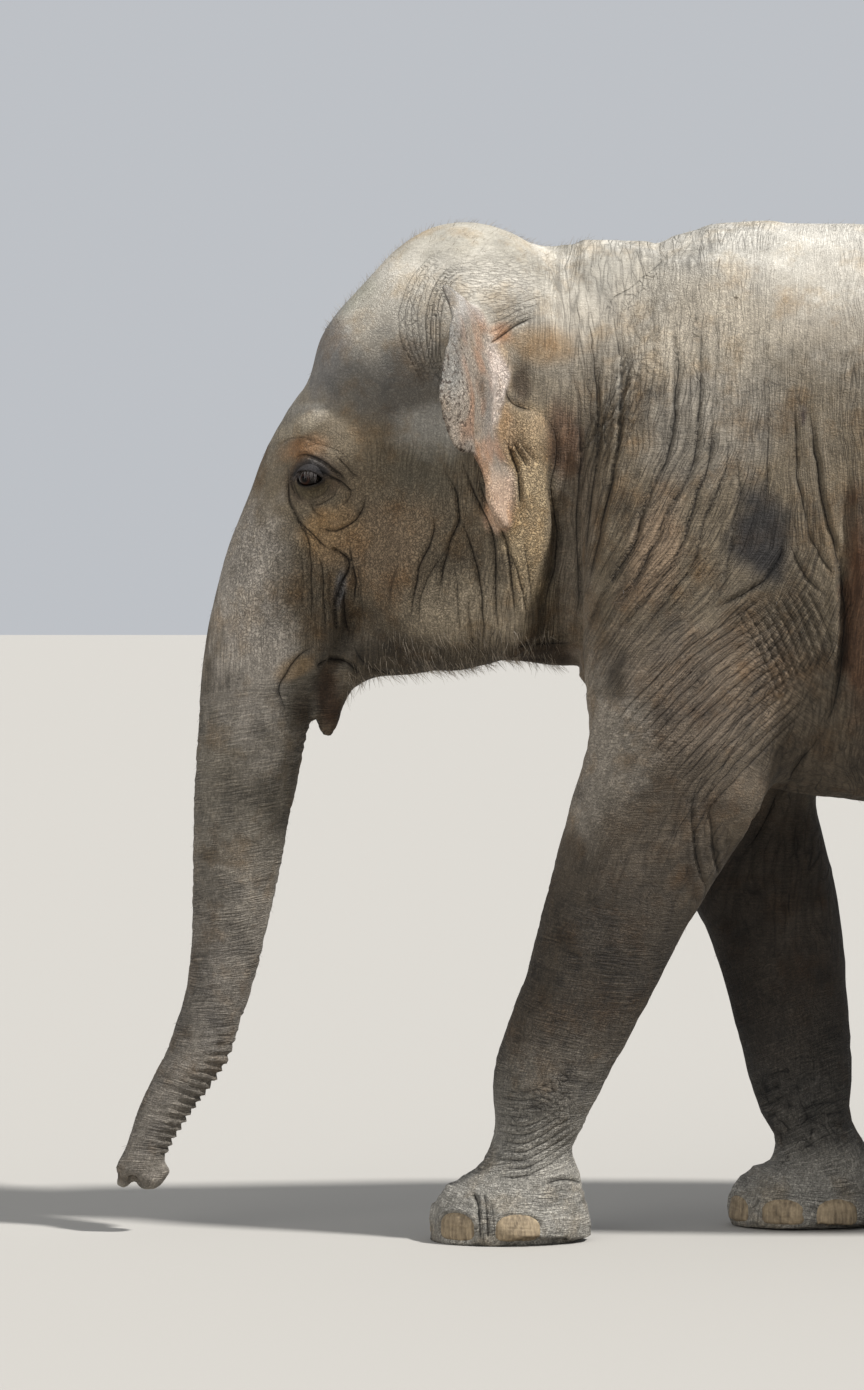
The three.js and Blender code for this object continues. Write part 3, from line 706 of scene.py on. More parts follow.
FACE_FOLDS = [
    Fold(((288, 462), (289, 479), (289, 498), (297, 516), (311, 533), (326, 547), (340, 551)), 6, 4),
    Fold(((334, 549), (345, 556), (350, 566), (344, 580), (338, 594), (335, 608), (336, 626)),
         13, 3.6, 0.15, False),
    Fold(((349, 545), (352, 560), (355, 574), (355, 590), (352, 606)), 7, 3, 0.3),
    Fold(((346, 586), (344, 602), (345, 618), (349, 634)), 9, 3, 0.1),
    Fold(((292, 500), (298, 518), (308, 540), (311, 556), (311, 585), (312, 632)), 5, 3, 0.4),
    Fold(((316, 551), (321, 562), (323, 577), (324, 604), (326, 634)), 5, 3, 0.4),
    Fold(((327, 560), (330, 580), (330, 600), (333, 625)), 3, 3),
    Fold(((301, 545), (303, 570), (301, 610)), 2.5, 3),
    Fold(((362, 560), (360, 582), (361, 604), (364, 624)), 3, 4),
    Fold(((358, 672), (346, 661), (330, 659), (318, 664)), 12, 6, 0.3, False),
    Fold(((318, 644), (300, 655), (287, 671), (279, 690), (286, 712)), 6, 5, 0.15),
    Fold(((352, 640), (362, 660), (380, 672), (410, 676)), 5, 6),
    Fold(((511, 652), (527, 645), (550, 643), (575, 642)), 8, 7),
    Fold(((440, 668), (480, 668), (520, 662), (560, 656)), 4, 6),
    Fold(((276, 448), (288, 440), (304, 438), (320, 444)), 2.5, 3),
]
CHEEK_FOLDS = [
    Fold(((444, 468), (455, 490), (460, 518), (450, 541), (444, 566), (438, 604)), 8, 4),
    Fold(((431, 509), (434, 534), (422, 560), (414, 595), (409, 620)), 7, 4),
    Fold(((460, 456), (470, 483), (482, 509), (492, 534), (495, 563), (495, 598), (500, 640)), 8, 4),
    Fold(((475, 462), (484, 495), (496, 520), (507, 545), (512, 580), (516, 625)), 7, 4),
    Fold(((461, 515), (466, 531), (476, 563), (482, 600), (484, 645)), 6, 4),
    Fold(((446, 548), (430, 575), (420, 600), (418, 625)), 4, 3.5),
    Fold(((505, 535), (513, 560), (523, 590), (526, 625)), 4, 3.5),
    Fold(((523, 535), (528, 570), (532, 610)), 4, 3.5),
    Fold(((400, 560), (392, 585), (388, 610)), 3, 3.5),
    Fold(((455, 560), (458, 600), (462, 640)), 3, 3.5),
    Fold(((468, 590), (470, 620), (474, 650)), 3, 3.5),
    Fold(((474, 456), (481, 470), (486, 486), (491, 506)), 6, 4, 0.2),
]
TEMPLE_FOLDS = [
    *strands(((476, 270), (458, 278), (446, 296), (440, 322), (440, 348), (445, 374), (452, 400)),
             ((470, 262), (450, 268), (434, 288), (426, 316), (427, 344), (433, 370), (444, 396)),
             4, 3.4, 2.2, 0.15),
    *strands(((466, 257), (444, 262), (426, 284), (418, 314), (420, 342), (429, 370), (442, 400)),
             ((456, 250), (430, 258), (408, 284), (399, 314), (402, 342), (418, 372), (438, 404)),
             4, 2.4, 2.2, 0.1),
]
EAR_BACK_FOLDS = [
    Fold(((481, 346), (492, 342), (505, 334), (518, 324), (536, 316)), 7, 3.6, 0.3),
    Fold(((484, 335), (500, 329), (518, 317), (540, 309)), 2.5, 3, 0.3),
    Fold(((484, 326), (502, 320), (522, 309), (544, 303)), 2.5, 3, 0.3),
    Fold(((482, 316), (502, 311), (524, 301), (548, 296)), 2, 3, 0.3),
    Fold(((509, 352), (507, 376), (507, 394), (513, 404), (524, 409), (538, 411)), 5, 6, 0.05),
    Fold(((505, 441), (512, 455), (517, 470), (519, 490), (520, 512)), 8, 4, 0.3),
    Fold(((512, 441), (521, 455), (528, 470)), 4, 3),
    Fold(((519, 441), (528, 453), (536, 464)), 3, 3),
]
NECK_FOLDS = [
    Fold(((545, 414), (552, 426), (556, 442), (555, 461), (551, 479), (551, 492), (554, 508), (557, 528),
          (556, 553), (552, 576), (547, 594), (542, 622)), 17, 9, 0.1),
    Fold(((577, 400), (580, 460), (576, 520), (579, 580), (575, 640)), 7, 7, 0.3),
    Fold(((590, 330), (597, 400), (596, 460), (589, 520), (583, 580)), 6, 6),
    Fold(((612, 300), (620, 370), (620, 430), (610, 490), (594, 560), (583, 610)), 6, 6),
    Fold(((668, 256), (650, 272), (630, 288), (612, 300), (602, 318)), 4, 4, 0.4),
    Fold(((664, 266), (648, 284), (630, 302), (617, 322)), 3, 4, 0.4),
]
SHOULDER_FOLDS = [
    Fold(((622, 330), (628, 372), (616, 408), (590, 440), (576, 470)), 4, 5),
    Fold(((660, 300), (676, 350), (675, 405), (668, 453), (657, 480), (643, 512), (636, 540), (618, 572),
          (597, 607), (584, 640)), 8, 6, 0.4),
    Fold(((690, 290), (700, 350), (698, 405), (696, 446), (687, 480), (669, 510), (655, 542), (639, 574),
          (616, 607), (590, 642)), 7, 6, 0.4),
    Fold(((712, 400), (710, 453), (698, 492), (687, 529), (675, 561), (659, 581), (636, 611), (600, 650)),
         6, 5, 0.4),
    Fold(((728, 420), (726, 467), (719, 485), (705, 519), (694, 561), (676, 588), (650, 622), (618, 658)),
         5, 5, 0.4),
    Fold(((733, 440), (740, 487), (735, 515), (728, 556), (722, 590), (700, 620)), 4, 5),
    Fold(((768, 400), (767, 460), (767, 492), (760, 530)), 4, 5),
    Fold(((783, 533), (779, 558), (765, 581), (742, 595), (712, 610)), 7, 6, 0.5),
    Fold(((793, 400), (795, 439), (797, 476), (804, 508), (807, 540)), 5, 5),
    Fold(((806, 400), (813, 440), (822, 499), (832, 538), (841, 574), (845, 607), (844, 650)), 9, 7, 0.4),
    Fold(((834, 560), (843, 600), (844, 635), (842, 670), (834, 705), (822, 735)), 12, 9, 0.3),
    Fold(((788, 542), (804, 574), (825, 595)), 4, 5),
    Fold(((806, 528), (820, 556), (836, 578)), 4, 5),
    Fold(((690, 800), (694, 830), (698, 860), (706, 892)), 5, 5),
    Fold(((708, 800), (712, 830), (716, 862), (722, 888)), 4, 5),
    Fold(((822, 735), (800, 762), (785, 790), (768, 830), (745, 862)), 8, 8),
    *strands(((784, 584), (742, 612), (700, 640), (650, 684), (604, 735)),
             ((816, 700), (788, 726), (760, 754), (726, 790), (694, 828)), 14, 3.8, 3.0, 0.45),
    *strands(((728, 600), (746, 626), (766, 662), (784, 704)),
             ((800, 576), (816, 604), (830, 640), (838, 676)), 9, 3.0, 3.0, 0.45),
    *strands(((634, 338), (614, 380), (598, 420), (584, 454)),
             ((672, 330), (652, 382), (632, 430), (606, 484)), 8, 2.6, 2.2, 0.4),
    *strands(((650, 470), (632, 520), (604, 566), (584, 612)),
             ((764, 480), (748, 535), (724, 584), (672, 640)), 13, 2.4, 2.0, 0.6),
    *strands(((650, 292), (654, 345), (650, 400), (640, 440)),
             ((812, 288), (806, 345), (798, 400), (792, 450)), 13, 1.8, 2.0, 0.7),
]
FOOT_FOLDS = [
    *strands(((486, 1084), (520, 1094), (550, 1084), (586, 1060)),
             ((496, 1180), (528, 1177), (556, 1162), (582, 1142)), 11, 3.8, 2.8, 0.4),
    *strands(((752, 1100), (776, 1086), (800, 1070), (835, 1066)),
             ((778, 1182), (806, 1158), (836, 1142), (868, 1150)), 8, 6, 4, 0.4),
    Fold(((474, 1196), (478, 1212), (480, 1236)), 7, 5, 0.3, False),
    Fold(((484, 1198), (487, 1215), (488, 1236)), 5, 4, 0.3, False),
    Fold(((492, 1205), (494, 1220), (494, 1236)), 4, 4, 0.3, False),
    Fold(((545, 1186), (565, 1181), (585, 1184)), 7, 5, 0.3),
]
ALL_FOLDS = (*EYE_FOLDS, *FACE_FOLDS, *CHEEK_FOLDS, *TEMPLE_FOLDS, *EAR_BACK_FOLDS, *NECK_FOLDS,
             *SHOULDER_FOLDS, *FOOT_FOLDS)
# Folds and rises of the ears' flaps.
EAR_FOLDS = [
    Fold(((470, 352), (474, 372), (478, 392), (481, 412), (482, 432)), 6, 9, 0.5),
    Fold(((494, 378), (496, 400), (495, 424), (496, 444)), 5, 7, 0.4),
    Fold(((457, 320), (452, 345), (448, 375), (448, 405), (454, 430)), 3, 6, 0.6),
    Fold(((474, 449), (484, 452), (494, 456)), 3, 5, 0.5),
    Fold(((500, 465), (498, 485), (502, 505)), 3, 8, 0.4),
]
EAR_SWELLINGS = [Swelling((482, 389), (4, 12), -7, 0, 3), Swelling((462, 400), (8, 36), 4, 0, 3)]


# ------------ the skin's mesh


@dataclass(frozen=True)
class Patch(Oval):
    """A soft patch of the hide, and its colour where it has one: its own, or painted light or shade."""

    at: tuple[float, float]
    size: tuple[float, float]
    colour: str = ""
    strength: float = 0.8
    turn: float = 0
    ragged: float = 0.5

    def share(self, at: Array, grain: Array) -> Array:
        """How much of the patch there is at places on the elevation, given some noise there."""
        return self.strength * (1 - step(0.45, 1.25, self.reach(at) + self.ragged * grain))


# The strengths of long wrinkles, short wrinkles and grain in parts of the hide.
WEAVES = (
    (Patch((390, 340), (170, 130), strength=1), (0.04, 0.15, 0.75)),
    (Patch((270, 540), (70, 150), strength=1), (0.55, 0.25, 1.2)),
    (Patch((310, 480), (70, 60), strength=1), (0.10, 0.15, 0.9)),
    (Patch((400, 560), (110, 100), strength=1), (0.40, 0.25, 1.25)),
    (Patch((525, 500), (36, 110), strength=1), (0.25, 0.30, 1.3)),
    (Patch((450, 245), (130, 40), strength=1), (0.05, 0.30, 0.35)),
    (Patch((500, 285), (70, 34), strength=1), (0.10, 0.95, 0.45)),
    (Patch((600, 300), (70, 70), strength=1), (0.85, 0.25, 0.35)),
    (Patch((620, 770), (70, 90), strength=1, turn=20), (0.35, 0.9, 0.9)),
    (Patch((753, 812), (36, 40), strength=1), (0.15, 0.5, 0.8)),
    (Patch((900, 290), (270, 80), strength=0.9), (0.45, 0.2, 0.5)),
    (Patch((700, 330), (90, 70), strength=0.9), (0.6, 0.2, 0.8)),
    (Patch((790, 660), (60, 90), strength=1), (1.0, 1.0, 0.5)),
)
# How the long wrinkles of the neck, shoulder and flank run: each line's name, and where it stands on
# the elevation at each of these heights.
FLOW_HEIGHTS = (300, 400, 450, 500, 550, 600, 650, 700, 750, 800, 850, 900)
FLOW = {
    0: (0,) * 12,
    575: (575, 575, 573, 570, 566, 560, 556, 552, 550, 548, 545, 540),
    615: (640, 640, 632, 616, 600, 585, 573, 565, 560, 556, 552, 548),
    649: (702, 698, 686, 653, 629, 597, 582, 573, 567, 562, 558, 554),
    677: (740, 738, 733, 708, 683, 632, 598, 583, 575, 569, 564, 560),
    709: (771, 770, 767, 759, 740, 696, 645, 606, 589, 578, 570, 566),
    751: (790, 792, 793, 792, 790, 762, 710, 662, 622, 594, 580, 572),
    793: (812, 815, 818, 822, 824, 808, 765, 721, 678, 640, 612, 596),
    835: (836, 838, 840, 842, 843, 838, 822, 797, 781, 763, 748, 735),
    866: (866, 868, 868, 868, 866, 862, 858, 854, 850, 846, 842, 838),
    2000: (2000,) * 12,
}


@dataclass
class Places:
    """What the skin needs to know of its points: side, elevation, and the lie of its wrinkles."""

    p: Array
    body: Body
    at: Array = field(init=False)
    drawn: Array = field(init=False)
    flank: Array = field(init=False)
    ring: Array = field(init=False)
    ringed: Array = field(init=False)
    ear: Array = field(init=False)
    trunk: Array = field(init=False)
    weave: Array = field(init=False)
    crowding: Array = field(init=False)

    def __post_init__(self) -> None:
        """Works it all out, on several threads."""
        self.at = Elevation.of(self.p)
        # Folds wander a little off their drawn lines.
        self.drawn = self.at + 1.3 * np.column_stack([noise(self.p / 0.035, salt) for salt in (61, 62)])
        found = in_chunks(self.lie, self.p)
        self.ring, self.ringed, self.ear, self.trunk = (
            found[:, :3], found[:, 3], found[:, 4], found[:, 5])
        self.flank = self.flank_lines()
        self.weave = self.strengths()

    def strengths(self) -> Array:
        """How strong the long wrinkles, the short ones and the grain are at each point."""
        out = np.tile((1.0, 0.5, 0.7), (len(self.p), 1))
        for patch, strengths in WEAVES:
            share = patch.share(self.at, 0)[:, None]
            out = out * (1 - share) + np.array(strengths) * share
        out[:, 0] *= np.clip(1.2 / self.crowding, 0.25, 1)
        ringed = self.ringed[:, None]
        on_rings = np.where(self.trunk[:, None] > 0.5, (1.0, 0.6, 0.7), (1.0, 0.8, 0.9))
        out = out * (1 - ringed) + on_rings * ringed
        ear = self.ear[:, None]
        return out * (1 - ear) + np.array((0, 0, 1.1)) * ear

    def flank_lines(self) -> Array:
        """Coordinates whose first keeps its value along a wrinkle of the neck, shoulder or flank."""
        u, v = self.at.T
        u = u + 4 * noise(self.p / 0.16, 11) + 1.5 * noise(self.p / 0.05, 12)
        names = list(FLOW)
        lines = np.stack([np.interp(v, FLOW_HEIGHTS, FLOW[name]) for name in names])
        left = np.clip((lines < u).sum(0) - 1, 0, len(names) - 2)
        low, high = (np.take_along_axis(lines, (left + k)[None], 0)[0] for k in (0, 1))
        first, last = (np.array(names, float)[left + k] for k in (0, 1))
        self.crowding = (last - first) / (high - low)
        across = first + (u - low) * self.crowding
        # Below, the cross wrinkles of the shoulder's hind half run down to the rear.
        aslant = step(690, 760, u) * step(900, 850, u) * step(540, 620, v) * step(820, 740, v)
        along = v - 0.75 * (u - 780) * aslant
        return np.column_stack([across * Elevation.UNIT, self.p[:, 1], along * Elevation.UNIT])

    def lie(self, p: Array) -> Array:
        """Ring coordinates along trunk, legs and tail, and how far each point belongs to them."""
        body = self.body
        trunk = body.trunk.place(p)
        skin = {"trunk": (trunk["ratio"] - 1) * np.minimum(trunk["deep"], trunk["wide"])}
        near_trunk = 1 - step(0.02, 0.10, skin["trunk"])
        u, v = Elevation.of(p).T
        near_trunk *= step(655, 720, v + 0.35 * (u - 230))
        ring = np.column_stack([trunk["length"] + 0.28 * trunk["up"], trunk["up"], trunk["side"]])
        ringed = near_trunk
        on_trunk = near_trunk.copy()
        for (name, _), leg in body.legs.items():
            at = leg.place(p)
            gap = (at["ratio"] - 1) * np.minimum(at["deep"], at["wide"])
            low = p[:, 2] + (0.45 * (p[:, 0] + 0.75) if name == "foreleg" else 0)
            share = (1 - step(0.03, 0.12, gap)) * (1 - step(0.70, 0.98, low))
            here = share > ringed
            tilt = 0.22 if name == "foreleg" else 0.1
            mine = np.column_stack([at["length"] + tilt * at["up"], at["up"], at["side"]])
            ring = np.where(here[:, None], mine, ring)
            ringed = np.maximum(ringed, share)
        tail = body.tail.place(p)
        share = (1 - step(0.02, 0.06, (tail["ratio"] - 1) * tail["deep"])) * step(0.12, 0.3, tail["length"])
        here = share > ringed
        ring = np.where(here[:, None], np.column_stack([tail["length"], tail["up"], tail["side"]]), ring)
        ringed = np.maximum(ringed, share)
        return np.column_stack([ring, ringed, body.on_flap(p), on_trunk])


def skin_normals(points: Array, faces: Array) -> Array:
    """Normals of a mesh of triangles, one for each point."""
    a, b, c = (points[faces[:, i]] for i in range(3))
    normal = np.cross(b - a, c - a)
    total = np.zeros_like(points)
    for i in range(3):
        for axis in range(3):
            total[:, axis] += np.bincount(faces[:, i], normal[:, axis], len(points))
    return total / np.maximum(np.linalg.norm(total, axis=1), 1e-12)[:, None]


def quartered(points: Array, faces: Array, chosen: Array) -> tuple[Array, Array, Array]:
    """Cuts the chosen quads in four, and their neighbours into fans of triangles.

    Args:
        points: the points.
        faces: the quads.
        chosen: whether each quad is cut.
    Returns:
        The points, the quads, and the neighbours' triangles.
    """
    ends = np.stack([faces, np.roll(faces, -1, 1)], -1)
    keys = ends.min(-1).astype(np.int64) * len(points) + ends.max(-1)
    cut = np.unique(keys[chosen])
    middles = (points[cut // len(points)] + points[cut % len(points)]) / 2
    where = np.searchsorted(cut, keys).clip(max=len(cut) - 1)
    middle = np.where(cut[where] == keys, where + len(points), -1)
    f, m = faces[chosen], middle[chosen]
    hub = len(points) + len(cut) + np.arange(len(f))
    quarters = np.vstack([np.column_stack([f[:, k], m[:, k], hub, m[:, k - 1]]) for k in range(4)])
    touched = ~chosen & (middle >= 0).any(1)
    fans = []
    for corners, mids in zip(faces[touched].tolist(), middle[touched].tolist()):
        ring = [i for pair in zip(corners, mids) for i in pair if i >= 0]
        start = next(k for k, i in enumerate(ring) if i >= len(points))
        ring = ring[start:] + ring[:start]
        fans += [(ring[0], ring[k], ring[k + 1]) for k in range(1, len(ring) - 1)]
    points = np.vstack([points, middles, points[f].mean(1)])
    return points, np.vstack([faces[~chosen & ~touched], quarters]), np.array(fans).reshape(-1, 3)


def smoothed(points: Array, faces: Array, share: Array, times: int) -> Array:
    """The points, with some drawn to the middle of their neighbours.

    Args:
        points: the points.
        faces: the quads.
        share: how far each point is drawn each time, from 0 to 1.
        times: how many times.
    Returns:
        The moved points.
    """
    a, b = faces.ravel(), np.roll(faces, -1, 1).ravel()
    count = np.maximum(np.bincount(a, minlength=len(points)), 1)
    for _ in range(times):
        middle = np.column_stack([np.bincount(a, points[b, k], len(points)) for k in range(3)])
        points = points + (middle / count[:, None] - points) * share[:, None]
    return points


class Skin:
    """The whole skin, polygonised from the body's form, and finer where folds are drawn.

    BLOCK is how many voxels wide the blocks are that are looked over first, COAT how far the skin
    stands out over the solids, EYE how far the finest quads reach round an eye's middle, and MOST how
    many triangles are left in the end.
    """

    VOXEL = 8.5 * MM
    BLOCK = 4
    COAT = 2 * MM
    EYE = 75 * MM
    MOST = 198_000

    def __init__(self, body: Body) -> None:
        """Keeps the form that the skin lies on."""
        self.body = body

    def grid(self) -> tuple[Array, Array]:
        """Distances on a grid, exact near the skin.

        Returns:
            The grid's low corner, and the distances in metres.
        """
        low = np.array(CAD_BOX[0]) - 6 * self.VOXEL
        low[2] = -5.5 * self.VOXEL
        size = np.array(CAD_BOX[1]) + 6 * self.VOXEL - low
        wide = self.VOXEL * self.BLOCK
        blocks = np.ceil(size / wide).astype(int)
        corners = np.stack(np.meshgrid(*map(np.arange, blocks), indexing="ij"), -1).reshape(-1, 3)
        middle = low + (corners + 0.5) * wide - self.VOXEL / 2
        rough = in_chunks(self.body.distance, middle)
        shape = tuple(blocks * self.BLOCK)
        out = rough.reshape(blocks).astype(np.float32)
        for axis in range(3):
            out = out.repeat(self.BLOCK, axis)
        near = corners[abs(rough) < wide * 1.25]
        inner = np.stack(np.meshgrid(*[np.arange(self.BLOCK)] * 3, indexing="ij"), -1).reshape(-1, 3)
        cells = (near[:, None] * self.BLOCK + inner[None]).reshape(-1, 3)
        log.info("grid %s, %d exact samples", shape, len(cells))
        exact = in_chunks(self.body.distance, low + cells * self.VOXEL)
        out[cells[:, 0], cells[:, 1], cells[:, 2]] = exact
        floor = low[2] + np.arange(shape[2]) * self.VOXEL
        return low, np.maximum(out, -(floor + self.COAT).astype(np.float32))

    def quads(self) -> tuple[Array, Array]:
        """The skin before any folds, as points and quads."""
        low, grid = self.grid()
        field_ = openvdb.FloatGrid(3 * self.VOXEL)
        field_.copyFromArray(grid)
        points, faces = field_.convertToQuads(isovalue=-self.COAT)
        points = low + np.array(points, float) * self.VOXEL
        faces = np.array(faces)
        flaps = 0.8 * in_chunks(self.body.on_flap, points)
        return smoothed(points, faces, flaps, 6), faces

    def refined(self, points: Array, faces: Array) -> tuple[Array, Array]:
        """Quarters the quads of the head, and those round the eyes again.

        Args:
            points: the points.
            faces: the quads.
        Returns:
            The points, and the faces as triangles.
        """
        triangles = []
        for reach in (self.on_show, self.round_eye, self.round_eye):
            points, faces, bits = quartered(points, faces, reach(points[faces].mean(1)))
            triangles.append(bits)
        return points, np.vstack([faces[:, [0, 1, 2]], faces[:, [0, 2, 3]], *triangles])

    @staticmethod
    def on_show(p: Array) -> Array:
        """Whether points are on the head, the left shoulder, the trunk's end or the forefeet."""
        u, v = Elevation.of(p).T
        head = (u > 240) & (u < 580) & (v > 270) & (v < 745)
        shoulder = (u > 570) & (u < 880) & (v > 380) & (v < 880) & (p[:, 1] < 0)
        foot = (u > 400) & (u < 620) & (v > 1120) & (p[:, 1] < 0)
        tip = (u < 260) & (v > 1020)
        return head | shoulder | foot | tip | ((u > 700) & (u < 940) & (v > 1185) & (p[:, 1] > 0))

    def round_eye(self, p: Array) -> Array:
        """Whether points are close to an eye."""
        return from_eye(p) < self.EYE


@dataclass
class EyeFrame:
    """Axes at an eye, on the elephant's right: outwards, forwards along the lids, and up."""

    body: Body
    centre: Array = field(init=False)
    out: Array = field(init=False)
    ahead: Array = field(init=False)
    up: Array = field(init=False)
    TILT = 8

    def __post_init__(self) -> None:
        """Takes the way out from the slope of the head round the eye."""
        self.centre = placed(np.array(EYE_CENTRE) * MM)
        reach = 45 * MM
        steps = np.vstack([np.eye(3), -np.eye(3)]) * reach
        d = self.body.distance(self.centre + steps)
        out = d[:3] - d[3:]
        self.out = out / np.linalg.norm(out)
        ahead = np.array((-math.cos(math.radians(self.TILT)), 0, -math.sin(math.radians(self.TILT))))
        ahead -= self.out * (ahead @ self.out)
        self.ahead = ahead / np.linalg.norm(ahead)
        self.up = np.cross(self.out, self.ahead)
        self.up *= np.sign(self.up[2])

    def local(self, p: Array) -> tuple[Array, Array, Array]:
        """Forwards, up and outwards from the eye's centre, of points on the right."""
        off = p - self.centre
        return off @ self.ahead, off @ self.up, off @ self.out


class Lids:
    """The lids of an eye: a ring of skin that lies on the ball and opens in an almond.

    HALF_LONG, ABOVE and BELOW are the opening's sizes from its middle. The skin rises to the lids by
    MOUND, over MOUND_REACH.
    """

    THICK = 5 * MM
    HALF_LONG = 31 * MM
    ABOVE, BELOW = 17 * MM, 18 * MM
    MOUND = 14 * MM
    MOUND_REACH = 72 * MM

    def __init__(self, frame_: EyeFrame) -> None:
        """Keeps the eye's axes."""
        self.frame = frame_

    def opening(self, a: Array, b: Array) -> Array:
        """How far out in the almond a place is, 1 on its edge."""
        ahead = a / self.HALF_LONG
        b = b - 3 * MM * ahead + 2.5 * MM * ahead**2
        high = np.where(b > 0, self.ABOVE, self.BELOW)
        return (abs(ahead) ** 2 + abs(b / high) ** 1.7) ** 0.5

    def shaped(self, p: Array) -> Array:
        """Points of the right-hand side with the lids shaped."""
        a, b, c = self.frame.local(p)
        flat = np.hypot(a, b)
        here = (flat < self.MOUND_REACH * 2) & (c > -60 * MM)
        a, b, c, flat = a[here], b[here], c[here], flat[here]
        ball = EYE_RADIUS * MM
        round_it = c + self.MOUND * np.exp(-(np.hypot(a / 1.1, b) / self.MOUND_REACH) ** 4)
        # The upper lid hangs forward as a hood over the ball.
        hood = 6 * MM * np.exp(-((b - 21 * MM + 0.12 * a) / (7 * MM)) ** 2 - (a / (34 * MM)) ** 4)
        lid = np.sqrt(np.maximum((ball + self.THICK) ** 2 - flat**2, 0)) - 0.4 * MM
        lid = np.where(flat < ball + self.THICK, lid, -1) + hood
        soft = 7 * MM
        mixed = np.clip(0.5 + 0.5 * (lid - round_it) / soft, 0, 1)
        out = round_it + (lid - round_it) * mixed + soft * mixed * (1 - mixed)
        e = self.opening(a, b)
        behind = np.sqrt(np.maximum(ball**2 - flat**2, 0)) - 8 * MM
        inside = 1 - step(0.93, 1.03, e)
        rim = 1.4 * MM * np.exp(-((e - 1.12) / 0.07) ** 2)
        out = out + rim
        out = out + (np.minimum(behind, out) - out) * inside
        moved = p.copy()
        moved[here] += (out - c)[:, None] * self.frame.out
        return moved


@dataclass
class NailBed:
    """Where a nail lies on its foot, from its solid's box: its middle, axes and half sizes."""

    name: str
    centre: Array = field(init=False)
    out: Array = field(init=False)
    across: Array = field(init=False)
    half: Array = field(init=False)

    def __post_init__(self) -> None:
        """Takes them from the node and its foot."""
        node = points_of(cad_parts[self.name].data)
        self.centre = (node.max(0) + node.min(0)) / 2
        out = (self.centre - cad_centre(self.name.rsplit("_", 2)[0] + "_foot")) * (1, 1, 0)
        self.out = out / np.linalg.norm(out)
        self.across = np.cross((0, 0, 1), self.out)
        off = node - self.centre
        self.half = np.array((np.ptp(off @ self.across), np.ptp(off[:, 2]))) / 2

    @staticmethod
    def reach(a: Array, b: Array) -> Array:
        """How far out in the nail's outline a place is, 1 on its edge: arched above, square below."""
        power = np.where(b > 0, 2.2, 4.5)
        return (abs(a) ** power + abs(b) ** power) ** (1 / power)

    def radius(self, p: Array) -> tuple[Array, Array]:
        """How far out in the outline points are, large away from the nail, and how high up in it."""
        off = p - self.centre
        high = off[:, 2] / self.half[1]
        reach = self.reach(off @ self.across / self.half[0], high)
        return np.where((off @ self.out > -30 * MM) & (reach < 2), reach, 9), high


NAILS = sorted(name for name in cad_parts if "nail" in name)


